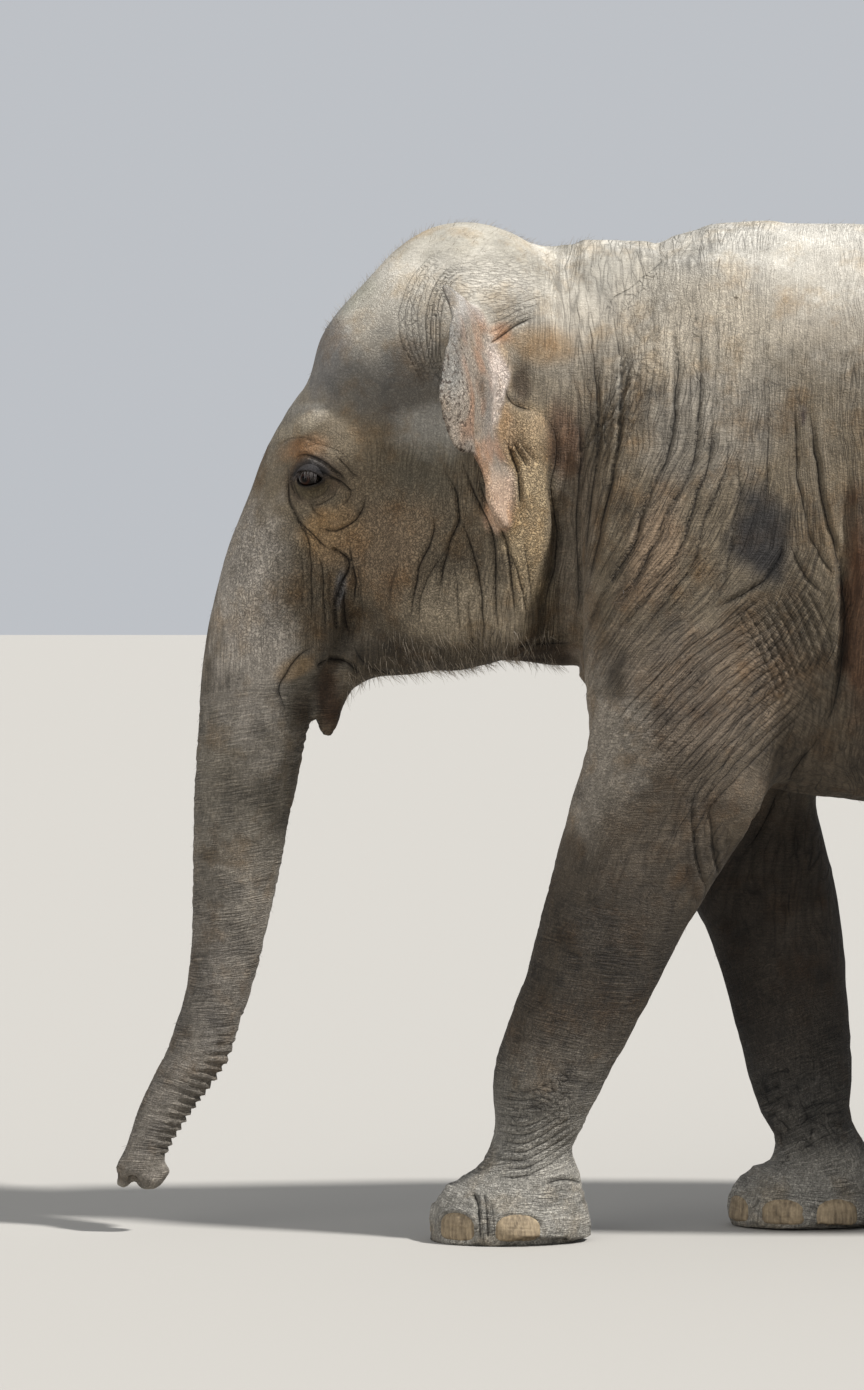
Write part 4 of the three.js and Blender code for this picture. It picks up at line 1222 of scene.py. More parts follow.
class Sculptor:
    """Folds and creases the skin, by moving its points along its normals."""

    def __init__(self, body: Body) -> None:
        """Keeps the form, and makes the lids and the nails' beds."""
        self.body = body
        self.lids = Lids(EyeFrame(body))
        self.beds = [NailBed(name) for name in NAILS]

    def bedded(self, p: Array, relief: Array) -> Array:
        """The relief with a bed sunk for each nail and the cuticle swollen round it."""
        for bed in self.beds:
            e, high = bed.radius(p)
            cuticle = 5 * MM * np.exp(-((e - 1.17) / 0.13) ** 2) * step(-0.6, 0.2, high)
            relief = relief * step(1.0, 1.5, e) + cuticle - 3 * MM * step(1.08, 0.98, e)
        return relief

    def relief(self, places: Places, normals: Array) -> Array:
        """How far out each point moves, in metres."""
        sideways = step(0.15, 0.5, abs(normals[:, 1]))
        bare = 1 - places.ear
        with ThreadPoolExecutor(4) as pool:
            out, flap = (sum(pool.map(lambda shape: shape.press(places.drawn), shapes)) * sideways
                         for shapes in ((*ALL_FOLDS, *SWELLINGS), (*EAR_FOLDS, *EAR_SWELLINGS)))
        out = out * bare + flap * places.ear
        return out + in_chunks(self.grain, np.column_stack(
            [places.flank, places.ring, places.ringed, places.ear, places.at, places.p, places.trunk]))

    @staticmethod
    def grain(rows: Array) -> Array:
        """The run of wrinkles over the whole hide, big and middling, from rows of places."""
        flank, ring, ringed, ear, at, p, trunk = (
            rows[:, :3], rows[:, 3:6], rows[:, 6], rows[:, 7], rows[:, 8:10], rows[:, 10:13], rows[:, 13])
        u, v = at.T
        long = creased(flank / np.array((16, 160, 300)) / MM, 21, 0.14)
        long *= 0.25 + 0.75 * step(-0.4, 0.4, noise(p / 0.12, 22))
        cross = creased(flank / np.array((40, 40, 11)) / MM, 23, 0.25)
        loose = step(545, 600, u) * step(250, 360, v) * (1 - 0.45 * step(880, 1000, u))
        hatched = step(700, 770, u) * step(900, 850, u) * step(560, 620, v) * step(820, 740, v)
        body_out = -long * 4.0 * MM * (0.15 + 0.85 * loose) - cross * MM * (0.7 + 1.5 * hatched)
        face = step(580, 545, u) * (v < 760)
        body_out = body_out * (1 - 0.8 * face)
        rings = creased(ring / np.array((6.5, 70, 70)) / MM, 25, 0.3)
        deep = creased(ring / np.array((15, 90, 90)) / MM, 27, 0.2)
        under = step(0, 0.04, ring[:, 1]) * trunk * step(1000, 1080, v) * step(1165, 1145, v)
        lumps = np.cos(2 * math.pi * ring[:, 0] / (21 * MM) + 1.5 * noise(p / 0.05, 35))
        front = 1 - 0.6 * step(0, -0.04, ring[:, 1]) * trunk * step(900, 1050, v)
        ring_out = -(rings * 1.6 + deep * 3.0 * (0.5 + 0.5 * trunk)) * MM * front + under * 4 * MM * lumps
        soft = 2.2 * MM * noise(p / 0.07, 31) + 4.0 * MM * noise(p / 0.21, 32)
        hide = body_out * (1 - ringed) + ring_out * ringed + soft
        flap = 1.2 * MM * noise(p / 0.045, 33) + 2.4 * MM * noise(p / 0.11, 34)
        return hide * (1 - ear) + flap * ear

    def sculpted(self, points: Array, faces: Array) -> Array:
        """The points with folds, creases and lids.

        Args:
            points: the smooth skin's points.
            faces: its triangles.
        Returns:
            The moved points.
        """
        normals = skin_normals(points, faces)
        places = Places(points, self.body)
        eye = self.lids.frame.centre
        calm = step(30 * MM, 62 * MM, np.linalg.norm(mirrored(points) - eye, axis=1))
        relief = self.bedded(points, self.relief(places, normals))
        moved = points + normals * (relief * (0.35 + 0.65 * calm))[:, None]
        sides = np.sign(moved[:, 1])
        right = moved.copy()
        right[:, 1] = abs(right[:, 1])
        right = self.lids.shaped(right)
        right[:, 1] *= np.where(sides == 0, 1, sides)
        right[:, 2] = np.maximum(right[:, 2], 0)
        return right


# ------------ finishes


def linear(hex_colour: str) -> tuple[float, float, float, float]:
    """An sRGB hex colour as linear RGBA."""
    parts = [int(hex_colour[i:i + 2], 16) / 255 for i in (1, 3, 5)]
    return (*[c / 12.92 if c <= 0.04045 else ((c + 0.055) / 1.055) ** 2.4 for c in parts], 1.0)


def add(tree: bpy.types.NodeTree, kind: str, inputs: dict | None = None, **settings) -> bpy.types.Node:
    """Adds a node.

    Args:
        tree: the node tree.
        kind: the node's type.
        inputs: values or sockets for its inputs, by name or index.
        settings: its own settings.
    Returns:
        The node.
    """
    node = tree.nodes.new(kind)
    for name, value in settings.items():
        setattr(node, name, value)
    for name, value in (inputs or {}).items():
        if isinstance(value, bpy.types.NodeSocket):
            tree.links.new(value, node.inputs[name])
        else:
            node.inputs[name].default_value = value
    return node


def blank(name: str) -> tuple[bpy.types.Material, bpy.types.NodeTree]:
    """A material with an empty node tree."""
    material = bpy.data.materials.new(name)
    material.use_nodes = True
    material.node_tree.nodes.clear()
    return material, material.node_tree


def finished(tree: bpy.types.NodeTree, inputs: dict) -> None:
    """Ends a material with a surface of these inputs."""
    shader = add(tree, "ShaderNodeBsdfPrincipled", inputs)
    add(tree, "ShaderNodeOutputMaterial", {"Surface": shader.outputs[0]})


Socket = bpy.types.NodeSocket


def out_of(tree: bpy.types.NodeTree, kind: str, inputs: dict | None = None, out: int | str = 0,
           **settings) -> Socket:
    """Adds a node as add does, and gives one of its outputs."""
    return add(tree, kind, inputs, **settings).outputs[out]


def noise_of(tree: bpy.types.NodeTree, place: Socket, scale: float = 1, detail: float = 2,
             roughness: float = 0.5) -> bpy.types.Node:
    """Noise at a place, of some scale for each unit of it."""
    return add(tree, "ShaderNodeTexNoise", {"Vector": place, "Scale": scale, "Detail": detail,
                                            "Roughness": roughness})


def ranged(tree: bpy.types.NodeTree, value: Socket, low: float, high: float, least: float = 0,
           most: float = 1) -> Socket:
    """least where the value is at low or under, rising to most where it is at high."""
    return out_of(tree, "ShaderNodeMapRange", {"Value": value, "From Min": low, "From Max": high,
                                               "To Min": least, "To Max": most})


def mixed(tree: bpy.types.NodeTree, share: Socket | float, a: Socket | tuple, b: Socket | tuple,
          **settings) -> Socket:
    """A colour between two, by the share of the second."""
    return out_of(tree, "ShaderNodeMix", {0: share, 6: a, 7: b}, 2, data_type="RGBA", **settings)


@dataclass(frozen=True)
class Wrinkles:
    """One run of wrinkles: winding lines about a pitch apart.

    Its pitches are in millimetres, on each axis of its coordinates; sharp is how thin the lines are.
    """

    pitch: tuple[float, float, float]
    detail: float
    sharp: float


@dataclass(frozen=True)
class Rings:
    """Wrinkles a steady pitch apart, which drift by some of their pitches over a distance.

    pitch and over are in millimetres; sharp is how thin the lines are.
    """

    pitch: float
    drift: float
    over: tuple[float, float, float]
    sharp: float


@dataclass(frozen=True)
class ElephantHide:
    """Elephant hide: thick dry skin, wrinkled across and along, with dust on its ridges and painted shade in
    its wrinkles.

    Its colour comes from the skin's own tint. Wrinkles, creases and the bottoms of folds are darkened with
    painted shade.
    """

    name: str = "elephant_hide"
    roughness: float = 0.85
    # Long and short wrinkles of the body, then of the trunk and legs, and the grain of both.
    long_flank: Wrinkles = Wrinkles((24, 160, 320), 0.8, 20)
    long_ring: Wrinkles = Wrinkles((13, 130, 130), 1.2, 11)
    rows_flank: Rings = Rings(17, 3.4, (60, 190, 190), 11)
    rows_ring: Rings = Rings(8.5, 3.0, (60, 75, 75), 8)
    fine_flank: Wrinkles = Wrinkles((9, 60, 110), 1.0, 9)
    fine_ring: Wrinkles = Wrinkles((5.5, 45, 45), 1.0, 8)
    short_flank: Wrinkles = Wrinkles((26, 26, 7), 1.0, 9)
    short_ring: Wrinkles = Wrinkles((30, 9, 9), 1.5, 10)
    grain: Wrinkles = Wrinkles((7, 7, 7), 1.0, 8)
    pebbles: Wrinkles = Wrinkles((15, 15, 15), 0.6, 9)
    # Depths in millimetres of the long wrinkles, the short ones and the grain.
    depths: tuple[float, float, float] = (3.2, 1.6, 1.6)
    # How much of its colour the hide keeps in them: painted shade in the wrinkles.
    keeps: tuple[float, float, float] = (0.30, 0.50, 0.36)
    # How strong the fine wrinkles between the long ones are, and the pebbles beside the grain.
    fine: float = 0.7
    coarse: float = 0.7
    # The half width and the depth in millimetres of the line at the bottom of a fold, sunk by bump and
    # darkened with painted shade.
    line: float = 1.5
    bottom: float = 2.5
    # Ochre earth and slate-grey bare skin that come through in blotches.
    earth: str = "#A48A6C"
    slate: str = "#8E949C"
    freckle: str = "#4A3A30"

    def make(self) -> bpy.types.Material:
        """The material."""
        material, tree = blank(self.name)
        flank, ring, weave = (out_of(tree, "ShaderNodeAttribute", out="Vector", attribute_name=name)
                              for name in ("flank", "ring", "weave"))
        ringed, crease, ear, off_fold, fold = (
            out_of(tree, "ShaderNodeAttribute", out="Fac", attribute_name=name)
            for name in ("ringed", "crease", "ear", "off_fold", "fold"))
        weave = add(tree, "ShaderNodeSeparateXYZ", {0: weave}).outputs
        place = out_of(tree, "ShaderNodeTexCoord", out="Object")

        def math_of(kind: str, *values) -> Socket:
            """The result of a Math node."""
            return out_of(tree, "ShaderNodeMath", dict(enumerate(values)), operation=kind)

        def scaled(source: Socket, sizes: tuple[float, ...]) -> Socket:
            """Coordinates in units of a size in millimetres on each axis."""
            return out_of(tree, "ShaderNodeVectorMath",
                          {0: source, 1: tuple(1 / (x * MM) for x in sizes)}, operation="MULTIPLY")

        def lines_of(source: Socket, run: Wrinkles) -> Socket:
            """1 in a run's wrinkles, falling off sharply beside them."""
            wave = noise_of(tree, scaled(source, run.pitch), 1, run.detail, 0.55).outputs[0]
            off = math_of("ABSOLUTE", math_of("SUBTRACT", wave, 0.5))
            return math_of("EXPONENT", math_of("MULTIPLY", off, -run.sharp))

        def rows_of(source: Socket, run: Rings) -> Socket:
            """1 on a run's evenly spaced lines, falling off sharply beside them."""
            drift = noise_of(tree, scaled(source, run.over), 1, 2.5).outputs[0]
            along = out_of(tree, "ShaderNodeSeparateXYZ", {0: source})
            phase = math_of("MULTIPLY_ADD", along, 1 / (run.pitch * MM),
                            math_of("MULTIPLY", drift, run.drift))
            return math_of("EXPONENT", math_of("MULTIPLY", math_of("PINGPONG", phase, 0.5), -run.sharp))

        def both(lines: Callable, body: Wrinkles | Rings, round_: Wrinkles | Rings) -> Socket:
            """A run of the body's where the skin isn't ringed, and one of the rings' where it is."""
            return out_of(tree, "ShaderNodeMix", {0: ringed, 2: lines(flank, body),
                                                  3: lines(ring, round_)}, data_type="FLOAT")

        # Long wrinkles come and go along their length.
        come = ranged(tree, noise_of(tree, place, 13, 1).outputs[0], 0.36, 0.6, 0.12)
        come = math_of("MAXIMUM", come, math_of("MULTIPLY", ringed, 0.6))
        long = math_of("MAXIMUM", math_of("MULTIPLY", both(lines_of, self.long_flank, self.long_ring), come),
                       math_of("MULTIPLY", both(lines_of, self.fine_flank, self.fine_ring), self.fine))
        rows = both(rows_of, self.rows_flank, self.rows_ring)
        long = math_of("MAXIMUM", long, math_of("MULTIPLY", rows, come))
        pebbles = math_of("MULTIPLY", lines_of(place, self.pebbles), self.coarse)
        runs = (long, both(lines_of, self.short_flank, self.short_ring),
                math_of("MAXIMUM", lines_of(place, self.grain), pebbles))
        lines = [math_of("MULTIPLY", run, weave[k]) for k, run in enumerate(runs)]
        height = 0.0
        for line, depth in zip(lines, self.depths):
            height = math_of("MULTIPLY_ADD", line, -depth, height)
        # The bottom of a fold: off_fold is the distance in millimetres from its line.
        bottom = math_of("MULTIPLY", off_fold, 1 / self.line)
        bottom = math_of("EXPONENT", math_of("MULTIPLY", math_of("MULTIPLY", bottom, bottom), -1.0))
        bottom = math_of("MULTIPLY", bottom, fold)
        height = math_of("MULTIPLY_ADD", bottom, -self.bottom, height)
        bump = out_of(tree, "ShaderNodeBump", {"Height": height, "Strength": 1.0, "Distance": MM})

        # Painted shade: the colour is darkened in creases, at the bottoms of folds and in the wrinkles.
        keep = math_of("MULTIPLY", math_of("MULTIPLY_ADD", crease, -0.4, 1.0),
                       math_of("MULTIPLY_ADD", bottom, -0.7, 1.0))
        for line, kept in zip(lines, self.keeps):
            keep = math_of("MULTIPLY", keep, math_of("MULTIPLY_ADD", line, kept - 1, 1.0))
        blotches = noise_of(tree, place, 9, 6, 0.65).outputs
        keep = math_of("MULTIPLY", keep, ranged(tree, blotches[0], 0.3, 0.7, 0.85, 1.2))
        hues = add(tree, "ShaderNodeSeparateColor", {0: blotches["Color"]}).outputs
        base = out_of(tree, "ShaderNodeAttribute", out="Color", attribute_name="tint")
        for k, colour in ((1, self.earth), (2, self.slate)):
            share = ranged(tree, hues[k], 0.5, 0.72, 0, 0.8)
            base = mixed(tree, share, base, linear(colour), blend_type="SOFT_LIGHT")
        spots = ranged(tree, noise_of(tree, place, 95, 2, 0.6).outputs[0], 0.53, 0.63, 0, 0.75)
        base = mixed(tree, math_of("MULTIPLY", spots, ear), base, linear(self.freckle))
        grey = out_of(tree, "ShaderNodeCombineColor", {0: keep, 1: keep, 2: keep})
        base = mixed(tree, 1.0, base, grey, blend_type="MULTIPLY")
        finished(tree, {"Base Color": base, "Roughness": self.roughness, "Normal": bump,
                        "Specular IOR Level": 0.3})
        return material


@dataclass(frozen=True)
class NailHorn:
    """Horn: dry, grown in fine upright streaks, scuffed and dusty."""

    name: str = "nail_horn"
    colour: str = "#96856B"
    stain: str = "#564A3B"
    roughness: float = 0.75

    def make(self) -> bpy.types.Material:
        """The material."""
        material, tree = blank(self.name)
        place = out_of(tree, "ShaderNodeTexCoord", out="Object")
        # Streaks 7 mm apart and 90 mm long, then scuffs 25 mm wide.
        stretched = out_of(tree, "ShaderNodeVectorMath", {0: place, 1: (140, 140, 11)},
                           operation="MULTIPLY")
        streaks = noise_of(tree, stretched, 1, 3).outputs[0]
        scuffs = noise_of(tree, place, 40, 5, 0.7).outputs[0]
        both = out_of(tree, "ShaderNodeMath", {0: streaks, 1: scuffs}, operation="ADD")
        colour = mixed(tree, ranged(tree, both, 0.7, 1.25), linear(self.stain), linear(self.colour))
        bump = out_of(tree, "ShaderNodeBump", {"Height": both, "Distance": 1.5 * MM, "Strength": 0.8})
        finished(tree, {"Base Color": colour, "Roughness": self.roughness, "Normal": bump,
                        "Specular IOR Level": 0.3})
        return material


@dataclass(frozen=True)
class Plain:
    """A plain surface, for the floor."""

    name: str
    colour: str
    roughness: float

    def make(self) -> bpy.types.Material:
        """The material."""
        material, tree = blank(self.name)
        finished(tree, {"Base Color": linear(self.colour), "Roughness": self.roughness})
        return material


# ------------ the hide's tint


HIDE = "#857762"
# Dust, and painted sunlight on the top of the body.
DUST_AND_PAINTED_LIGHT = "#E4DED1"
SHADE = "#665A4C"
PATCHES = (
    Patch((470, 232), (120, 44), "#A19A8B", 0.8),
    Patch((590, 268), (64, 34), "#A59E90", 0.6),
    Patch((340, 290), (46, 34), "#A9A594", 0.7),
    Patch((326, 345), (30, 50), "#77777A", 0.6),
    # Painted shadow of the ear over the temple's own slate-grey.
    Patch((395, 385), (70, 56), "#5C5A57", 0.75),
    Patch((430, 430), (46, 30), "#ABA79E", 0.75),
    Patch((298, 428), (34, 12), "#C2B49C", 0.7, -20),
    Patch((305, 446), (34, 14), "#A07D5B", 0.75, -15),
    Patch((312, 480), (32, 28), "#4F4033", 0.75),
    Patch((338, 532), (38, 28), "#CBA676", 0.8),
    Patch((380, 545), (60, 60), "#A68D70", 0.7),
    Patch((250, 630), (46, 150), "#DACFC0", 0.8),
    Patch((420, 470), (44, 30), "#77705F", 0.5),
    # The jowl's own tan, brightened with painted sunlight.
    Patch((526, 505), (34, 110), "#CDB48D", 0.8, -3, 0.8),
    Patch((532, 436), (22, 28), "#C3A884", 0.8, 0, 0.6),
    Patch((470, 610), (60, 50), "#CFBDA1", 0.7),
    Patch((400, 655), (80, 20), "#5A5042", 0.8),
    Patch((340, 590), (7, 22), "#7D8086", 0.7, 8, 0.2),
    # Painted shadow: a dark line beside the flap by the mouth.
    Patch((345, 622), (6, 24), "#4A4037", 0.5, 0, 0.3),
    Patch((574, 540), (26, 130), "#908372", 0.8),
    Patch((562, 440), (20, 40), "#7B5A41", 0.7),
    Patch((540, 345), (36, 22), "#A5855C", 0.6),
    Patch((499, 372), (15, 34), "#DCC4A6", 0.95, 0, 0.25),
    Patch((495, 335), (22, 14), "#CFA585", 0.7, -20),
    Patch((505, 430), (14, 30), "#CDAF8C", 0.8, 0, 0.3),
    # Painted shade in the hollow behind the ear.
    Patch((521, 384), (13, 26), "#57493A", 0.85, 0, 0.5),
    Patch((545, 655), (44, 14), "#4C3828", 0.7),
    Patch((327, 700), (15, 46), "#5F4834", 0.9),
    Patch((296, 668), (24, 12), "#A5855A", 0.6, -25),
    Patch((302, 712), (12, 26), "#5E4C39", 0.6),
    Patch((765, 535), (36, 66), "#363536", 0.9, -12),
    Patch((655, 545), (30, 62), "#A88D72", 0.6, 20),
    Patch((720, 410), (80, 80), "#A59D90", 0.55),
    Patch((700, 330), (90, 60), "#C9BBA4", 0.55),
    Patch((690, 690), (120, 70), "#918170", 0.65),
    Patch((760, 670), (50, 60), "#97826A", 0.5),
    Patch((803, 415), (3, 14), "#2A1A22", 0.8, 0, 0.3),
    Patch((858, 610), (18, 130), "#6E4E37", 0.85),
    Patch((640, 920), (100, 110), "#5A5248", 0.55),
    Patch((600, 750), (50, 90), "#BEB3A3", 0.75),
)


class Tint:
    """The hide's broad colours, painted on its points, with painted light and shade among them."""

    def __init__(self, places: Places, normals: Array) -> None:
        """Keeps the places to paint."""
        self.places, self.normals, self.lids = places, normals, Lids(EyeFrame(places.body))

    def colours(self) -> Array:
        """Linear RGBA for each point."""
        places, p = self.places, self.places.p
        u, v = places.at.T
        grain = 0.6 * noise(p / 0.10, 41) + 0.4 * noise(p / 0.03, 42)
        out = np.tile(np.array(linear(HIDE)), (len(p), 1))

        def lay(colour: str, share: Array) -> None:
            nonlocal out
            share = np.clip(share, 0, 1)[:, None]
            out = out * (1 - share) + np.array(linear(colour)) * share

        # Dust and painted sunlight: paler high up and on surfaces that face up.
        high = 1 - step(225, 430, v + 30 * grain + 0.10 * (u - 600))
        top = step(0.2, 0.9, self.normals[:, 2] + 0.15 * grain) * step(560, 300, v)
        lay(DUST_AND_PAINTED_LIGHT, np.maximum(0.9 * top, 0.75 * high))
        # Painted shade: darker low down on the body, away from the trunk.
        lay(SHADE, 0.8 * step(540, 800, v + 40 * grain) * (1 - places.trunk))
        lay("#ABA293", 0.7 * places.trunk)
        lay("#9B9287", 0.65 * places.trunk * step(780, 980, v))
        lay("#D8D2C5", 0.85 * step(1000, 1200, v + 20 * grain) * (1 - places.trunk))
        far = step(0, 60 * MM, p[:, 1]) * step(720, 860, v)
        for patch in PATCHES:
            lay(patch.colour, patch.share(places.at, grain) * (1 - places.ear))
        # Painted shadow on the far side, from the belly down its legs.
        lay("#37312D", 0.7 * far * (1 - places.trunk) * (1 - step(1130, 1200, v)))
        ear = places.ear
        blush = step(-0.2, 0.5, noise(p / 0.05, 53)) * step(455, 464, u) + step(470, 520, v)
        lay("#A99B8B", 0.97 * ear)
        lay("#B48F74", 0.75 * ear * blush)
        lay("#8F8F8A", 0.65 * ear * step(474, 452, u + 5 * grain) * step(425, 370, v + 20 * grain))
        lay("#D2CBC2", 0.85 * ear * step(335, 305, v + 10 * grain) * step(450, 462, u))
        lay("#F0E0D2", 0.9 * ear * step(484, 500, u + 6 * grain) * step(440, 415, v))
        lay("#DCBEA4", 0.85 * ear * step(462, 485, v + 8 * grain))
        lay("#8D8A86", 0.55 * ear * np.exp(-((u - 488) / 5) ** 2 - ((v - 410) / 28) ** 2))
        # Painted shade in a small hollow of the flap.
        lay("#5B442F", 0.8 * ear * np.exp(-((u - 482) / 3.5) ** 2 - ((v - 388) / 9) ** 2))
        right = mirrored(p)
        ahead, up, _ = self.lids.frame.local(right)
        far_off = np.linalg.norm(right - self.lids.frame.centre, axis=1)
        almond = self.lids.opening(ahead, up)
        # The upper lid's slate-grey, darkened with painted shade, and more painted shade close over the
        # opening.
        lay("#5F5B58", 0.8 * step(56 * MM, 40 * MM, far_off) * step(-8 * MM, 12 * MM, up))
        lay("#2C2A2B", 0.9 * step(2.3, 1.5, almond) * step(-2 * MM, 8 * MM, up)
            * step(62 * MM, 52 * MM, far_off))
        lay("#61573F", 0.6 * step(60 * MM, 44 * MM, far_off) * step(-4 * MM, -16 * MM, up))
        lay("#2A211B", 0.75 * step(1.35, 1.1, almond) * step(60 * MM, 50 * MM, far_off))
        lay("#120D0A", 0.95 * step(1.10, 1.0, almond) * step(60 * MM, 50 * MM, far_off))
        return out


# ------------ pieces


def new_object(name: str, points: Array, faces: Array | list, smooth: bool = True) -> bpy.types.Object:
    """A mesh object at the origin.

    Args:
        name: its name.
        points: its points in the row's frame.
        faces: its faces, anticlockwise from outside.
        smooth: whether it is shaded smooth.
    Returns:
        The object.
    """
    mesh = bpy.data.meshes.new(name)
    mesh.from_pydata(np.asarray(points).tolist(), [], np.asarray(faces).tolist()
                     if isinstance(faces, np.ndarray) else faces)
    mesh.polygons.foreach_set("use_smooth", [smooth] * len(mesh.polygons))
    mesh.update()
    return linked(name, mesh)


def closed(thing: bpy.types.Object) -> bpy.types.Object:
    """The object with its doubled points merged and its faces turned outwards."""
    bm = bmesh.new()
    bm.from_mesh(thing.data)
    bmesh.ops.remove_doubles(bm, verts=bm.verts, dist=1e-6)
    bmesh.ops.recalc_face_normals(bm, faces=bm.faces)
    bm.to_mesh(thing.data)
    bm.free()
    return thing


def set_attribute(mesh: bpy.types.Mesh, name: str, values: Array) -> None:
    """Stores a number, a vector or a colour for each point."""
    kind, key = {1: ("FLOAT", "value"), 3: ("FLOAT_VECTOR", "vector"),
                 4: ("FLOAT_COLOR", "color")}[1 if values.ndim == 1 else values.shape[1]]
    layer = mesh.attributes.new(name, kind, "POINT")
    layer.data.foreach_set(key, values.astype(np.float32).ravel())


FLESH = [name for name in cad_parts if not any(word in name for word in ("eye", "nail", "tuft"))]


@dataclass
class HidePiece:
    """The hide as one piece over every node of flesh."""

    body: Body
    finish: ElephantHide = ElephantHide()

    def thinned(self, points: Array, faces: Array) -> bpy.types.Mesh:
        """The sculpted skin with triangles taken out where they tell least, fewest from the head."""
        draft = new_object("draft_hide", points, faces)
        u, v = Elevation.of(points).T
        near = np.where(points[:, 1] < 0, 1.0, 0.45)
        head = step(620, 540, u) * step(760, 700, v)
        shoulder = step(900, 860, u) * step(960, 880, v) * step(380, 420, v)
        foot = step(620, 600, u) * step(1100, 1140, v) + step(950, 900, u) * step(1150, 1185, v)
        tip = step(260, 240, u) * step(1000, 1040, v)
        seen = step(1000, 860, u)
        lids = step(Skin.EYE, 55 * MM, from_eye(points))
        care = (0.15 + 0.30 * seen + 0.35 * np.maximum.reduce(
            [head, 0.6 * shoulder, 0.8 * foot, tip])) * near + 0.25 * lids
        group = draft.vertex_groups.new(name="spare")
        level = np.round((1 - care) * 10).astype(int)
        for k in range(11):
            group.add(np.nonzero(level == k)[0].tolist(), 0.1 + 0.09 * k, "REPLACE")
        thin = draft.modifiers.new("thin", "DECIMATE")
        thin.ratio = Skin.MOST / len(faces)
        thin.vertex_group = "spare"
        return settled(draft)

    def shape(self) -> bpy.types.Mesh:
        """Its mesh: the skin polygonised, sculpted and thinned."""
        skin = Skin(self.body)
        points, quads = skin.quads()
        log.info("smooth skin: %d points, %d quads", len(points), len(quads))
        points, faces = skin.refined(points, quads)
        log.info("refined: %d triangles", len(faces))
        sculpted = Sculptor(self.body).sculpted(points, faces)
        log.info("sculpted")
        return self.thinned(sculpted, faces)

    def make(self) -> bpy.types.Object:
        """The piece, with its attributes and material."""
        mesh = self.shape()
        log.info("thinned to %d triangles", len(mesh.polygons))
        piece = linked("hide", mesh)
        mesh.name = "hide"
        mesh.materials.clear()
        mesh.polygons.foreach_set("use_smooth", [True] * len(mesh.polygons))
        self.mark(mesh)
        mesh.materials.append(self.finish.make())
        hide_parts(*FLESH)
        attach(piece, "root")
        return piece

    def mark(self, mesh: bpy.types.Mesh) -> None:
        """Stores the coordinates and masks that the material reads."""
        p = points_of(mesh)
        normals = skin_normals(p, corners_of(mesh).reshape(-1, 3))
        places = Places(p, self.body)
        u, v = places.at.T
        # Freckles are thickest along the flap's front, and few on its lobe.
        grip = (1 - 0.75 * step(455, 475, v)) * (0.45 + 0.55 * step(480, 466, u)) * step(310, 345, v)
        bare = (1 - places.ear) * step(0.1, 0.4, abs(normals[:, 1]))
        # How deep the folds are, for the painted shade that the material lays in them.
        creases = sum(np.minimum(fold.press(places.drawn), 0) for fold in ALL_FOLDS)
        creases = np.clip(-creases / (6 * MM), 0, 1) * bare
        off_fold, strength = np.full(len(p), 14 * MM), np.zeros(len(p))
        for fold in ALL_FOLDS:
            found, off, fade = fold.near(places.drawn)
            closer = abs(off) < abs(off_fold[found])
            found, off, fade = found[closer], off[closer], fade[closer]
            off_fold[found] = off
            strength[found] = min(fold.depth / 6, 1) * fade * step(10 * MM, 6 * MM, abs(off))
        for name, values in dict(
                flank=places.flank, ring=places.ring, ringed=places.ringed, crease=creases,
                ear=np.clip(places.ear * grip, 0, 1), off_fold=off_fold / MM, fold=strength * bare,
                weave=places.weave, tint=Tint(places, normals).colours()).items():
            set_attribute(mesh, name, values)


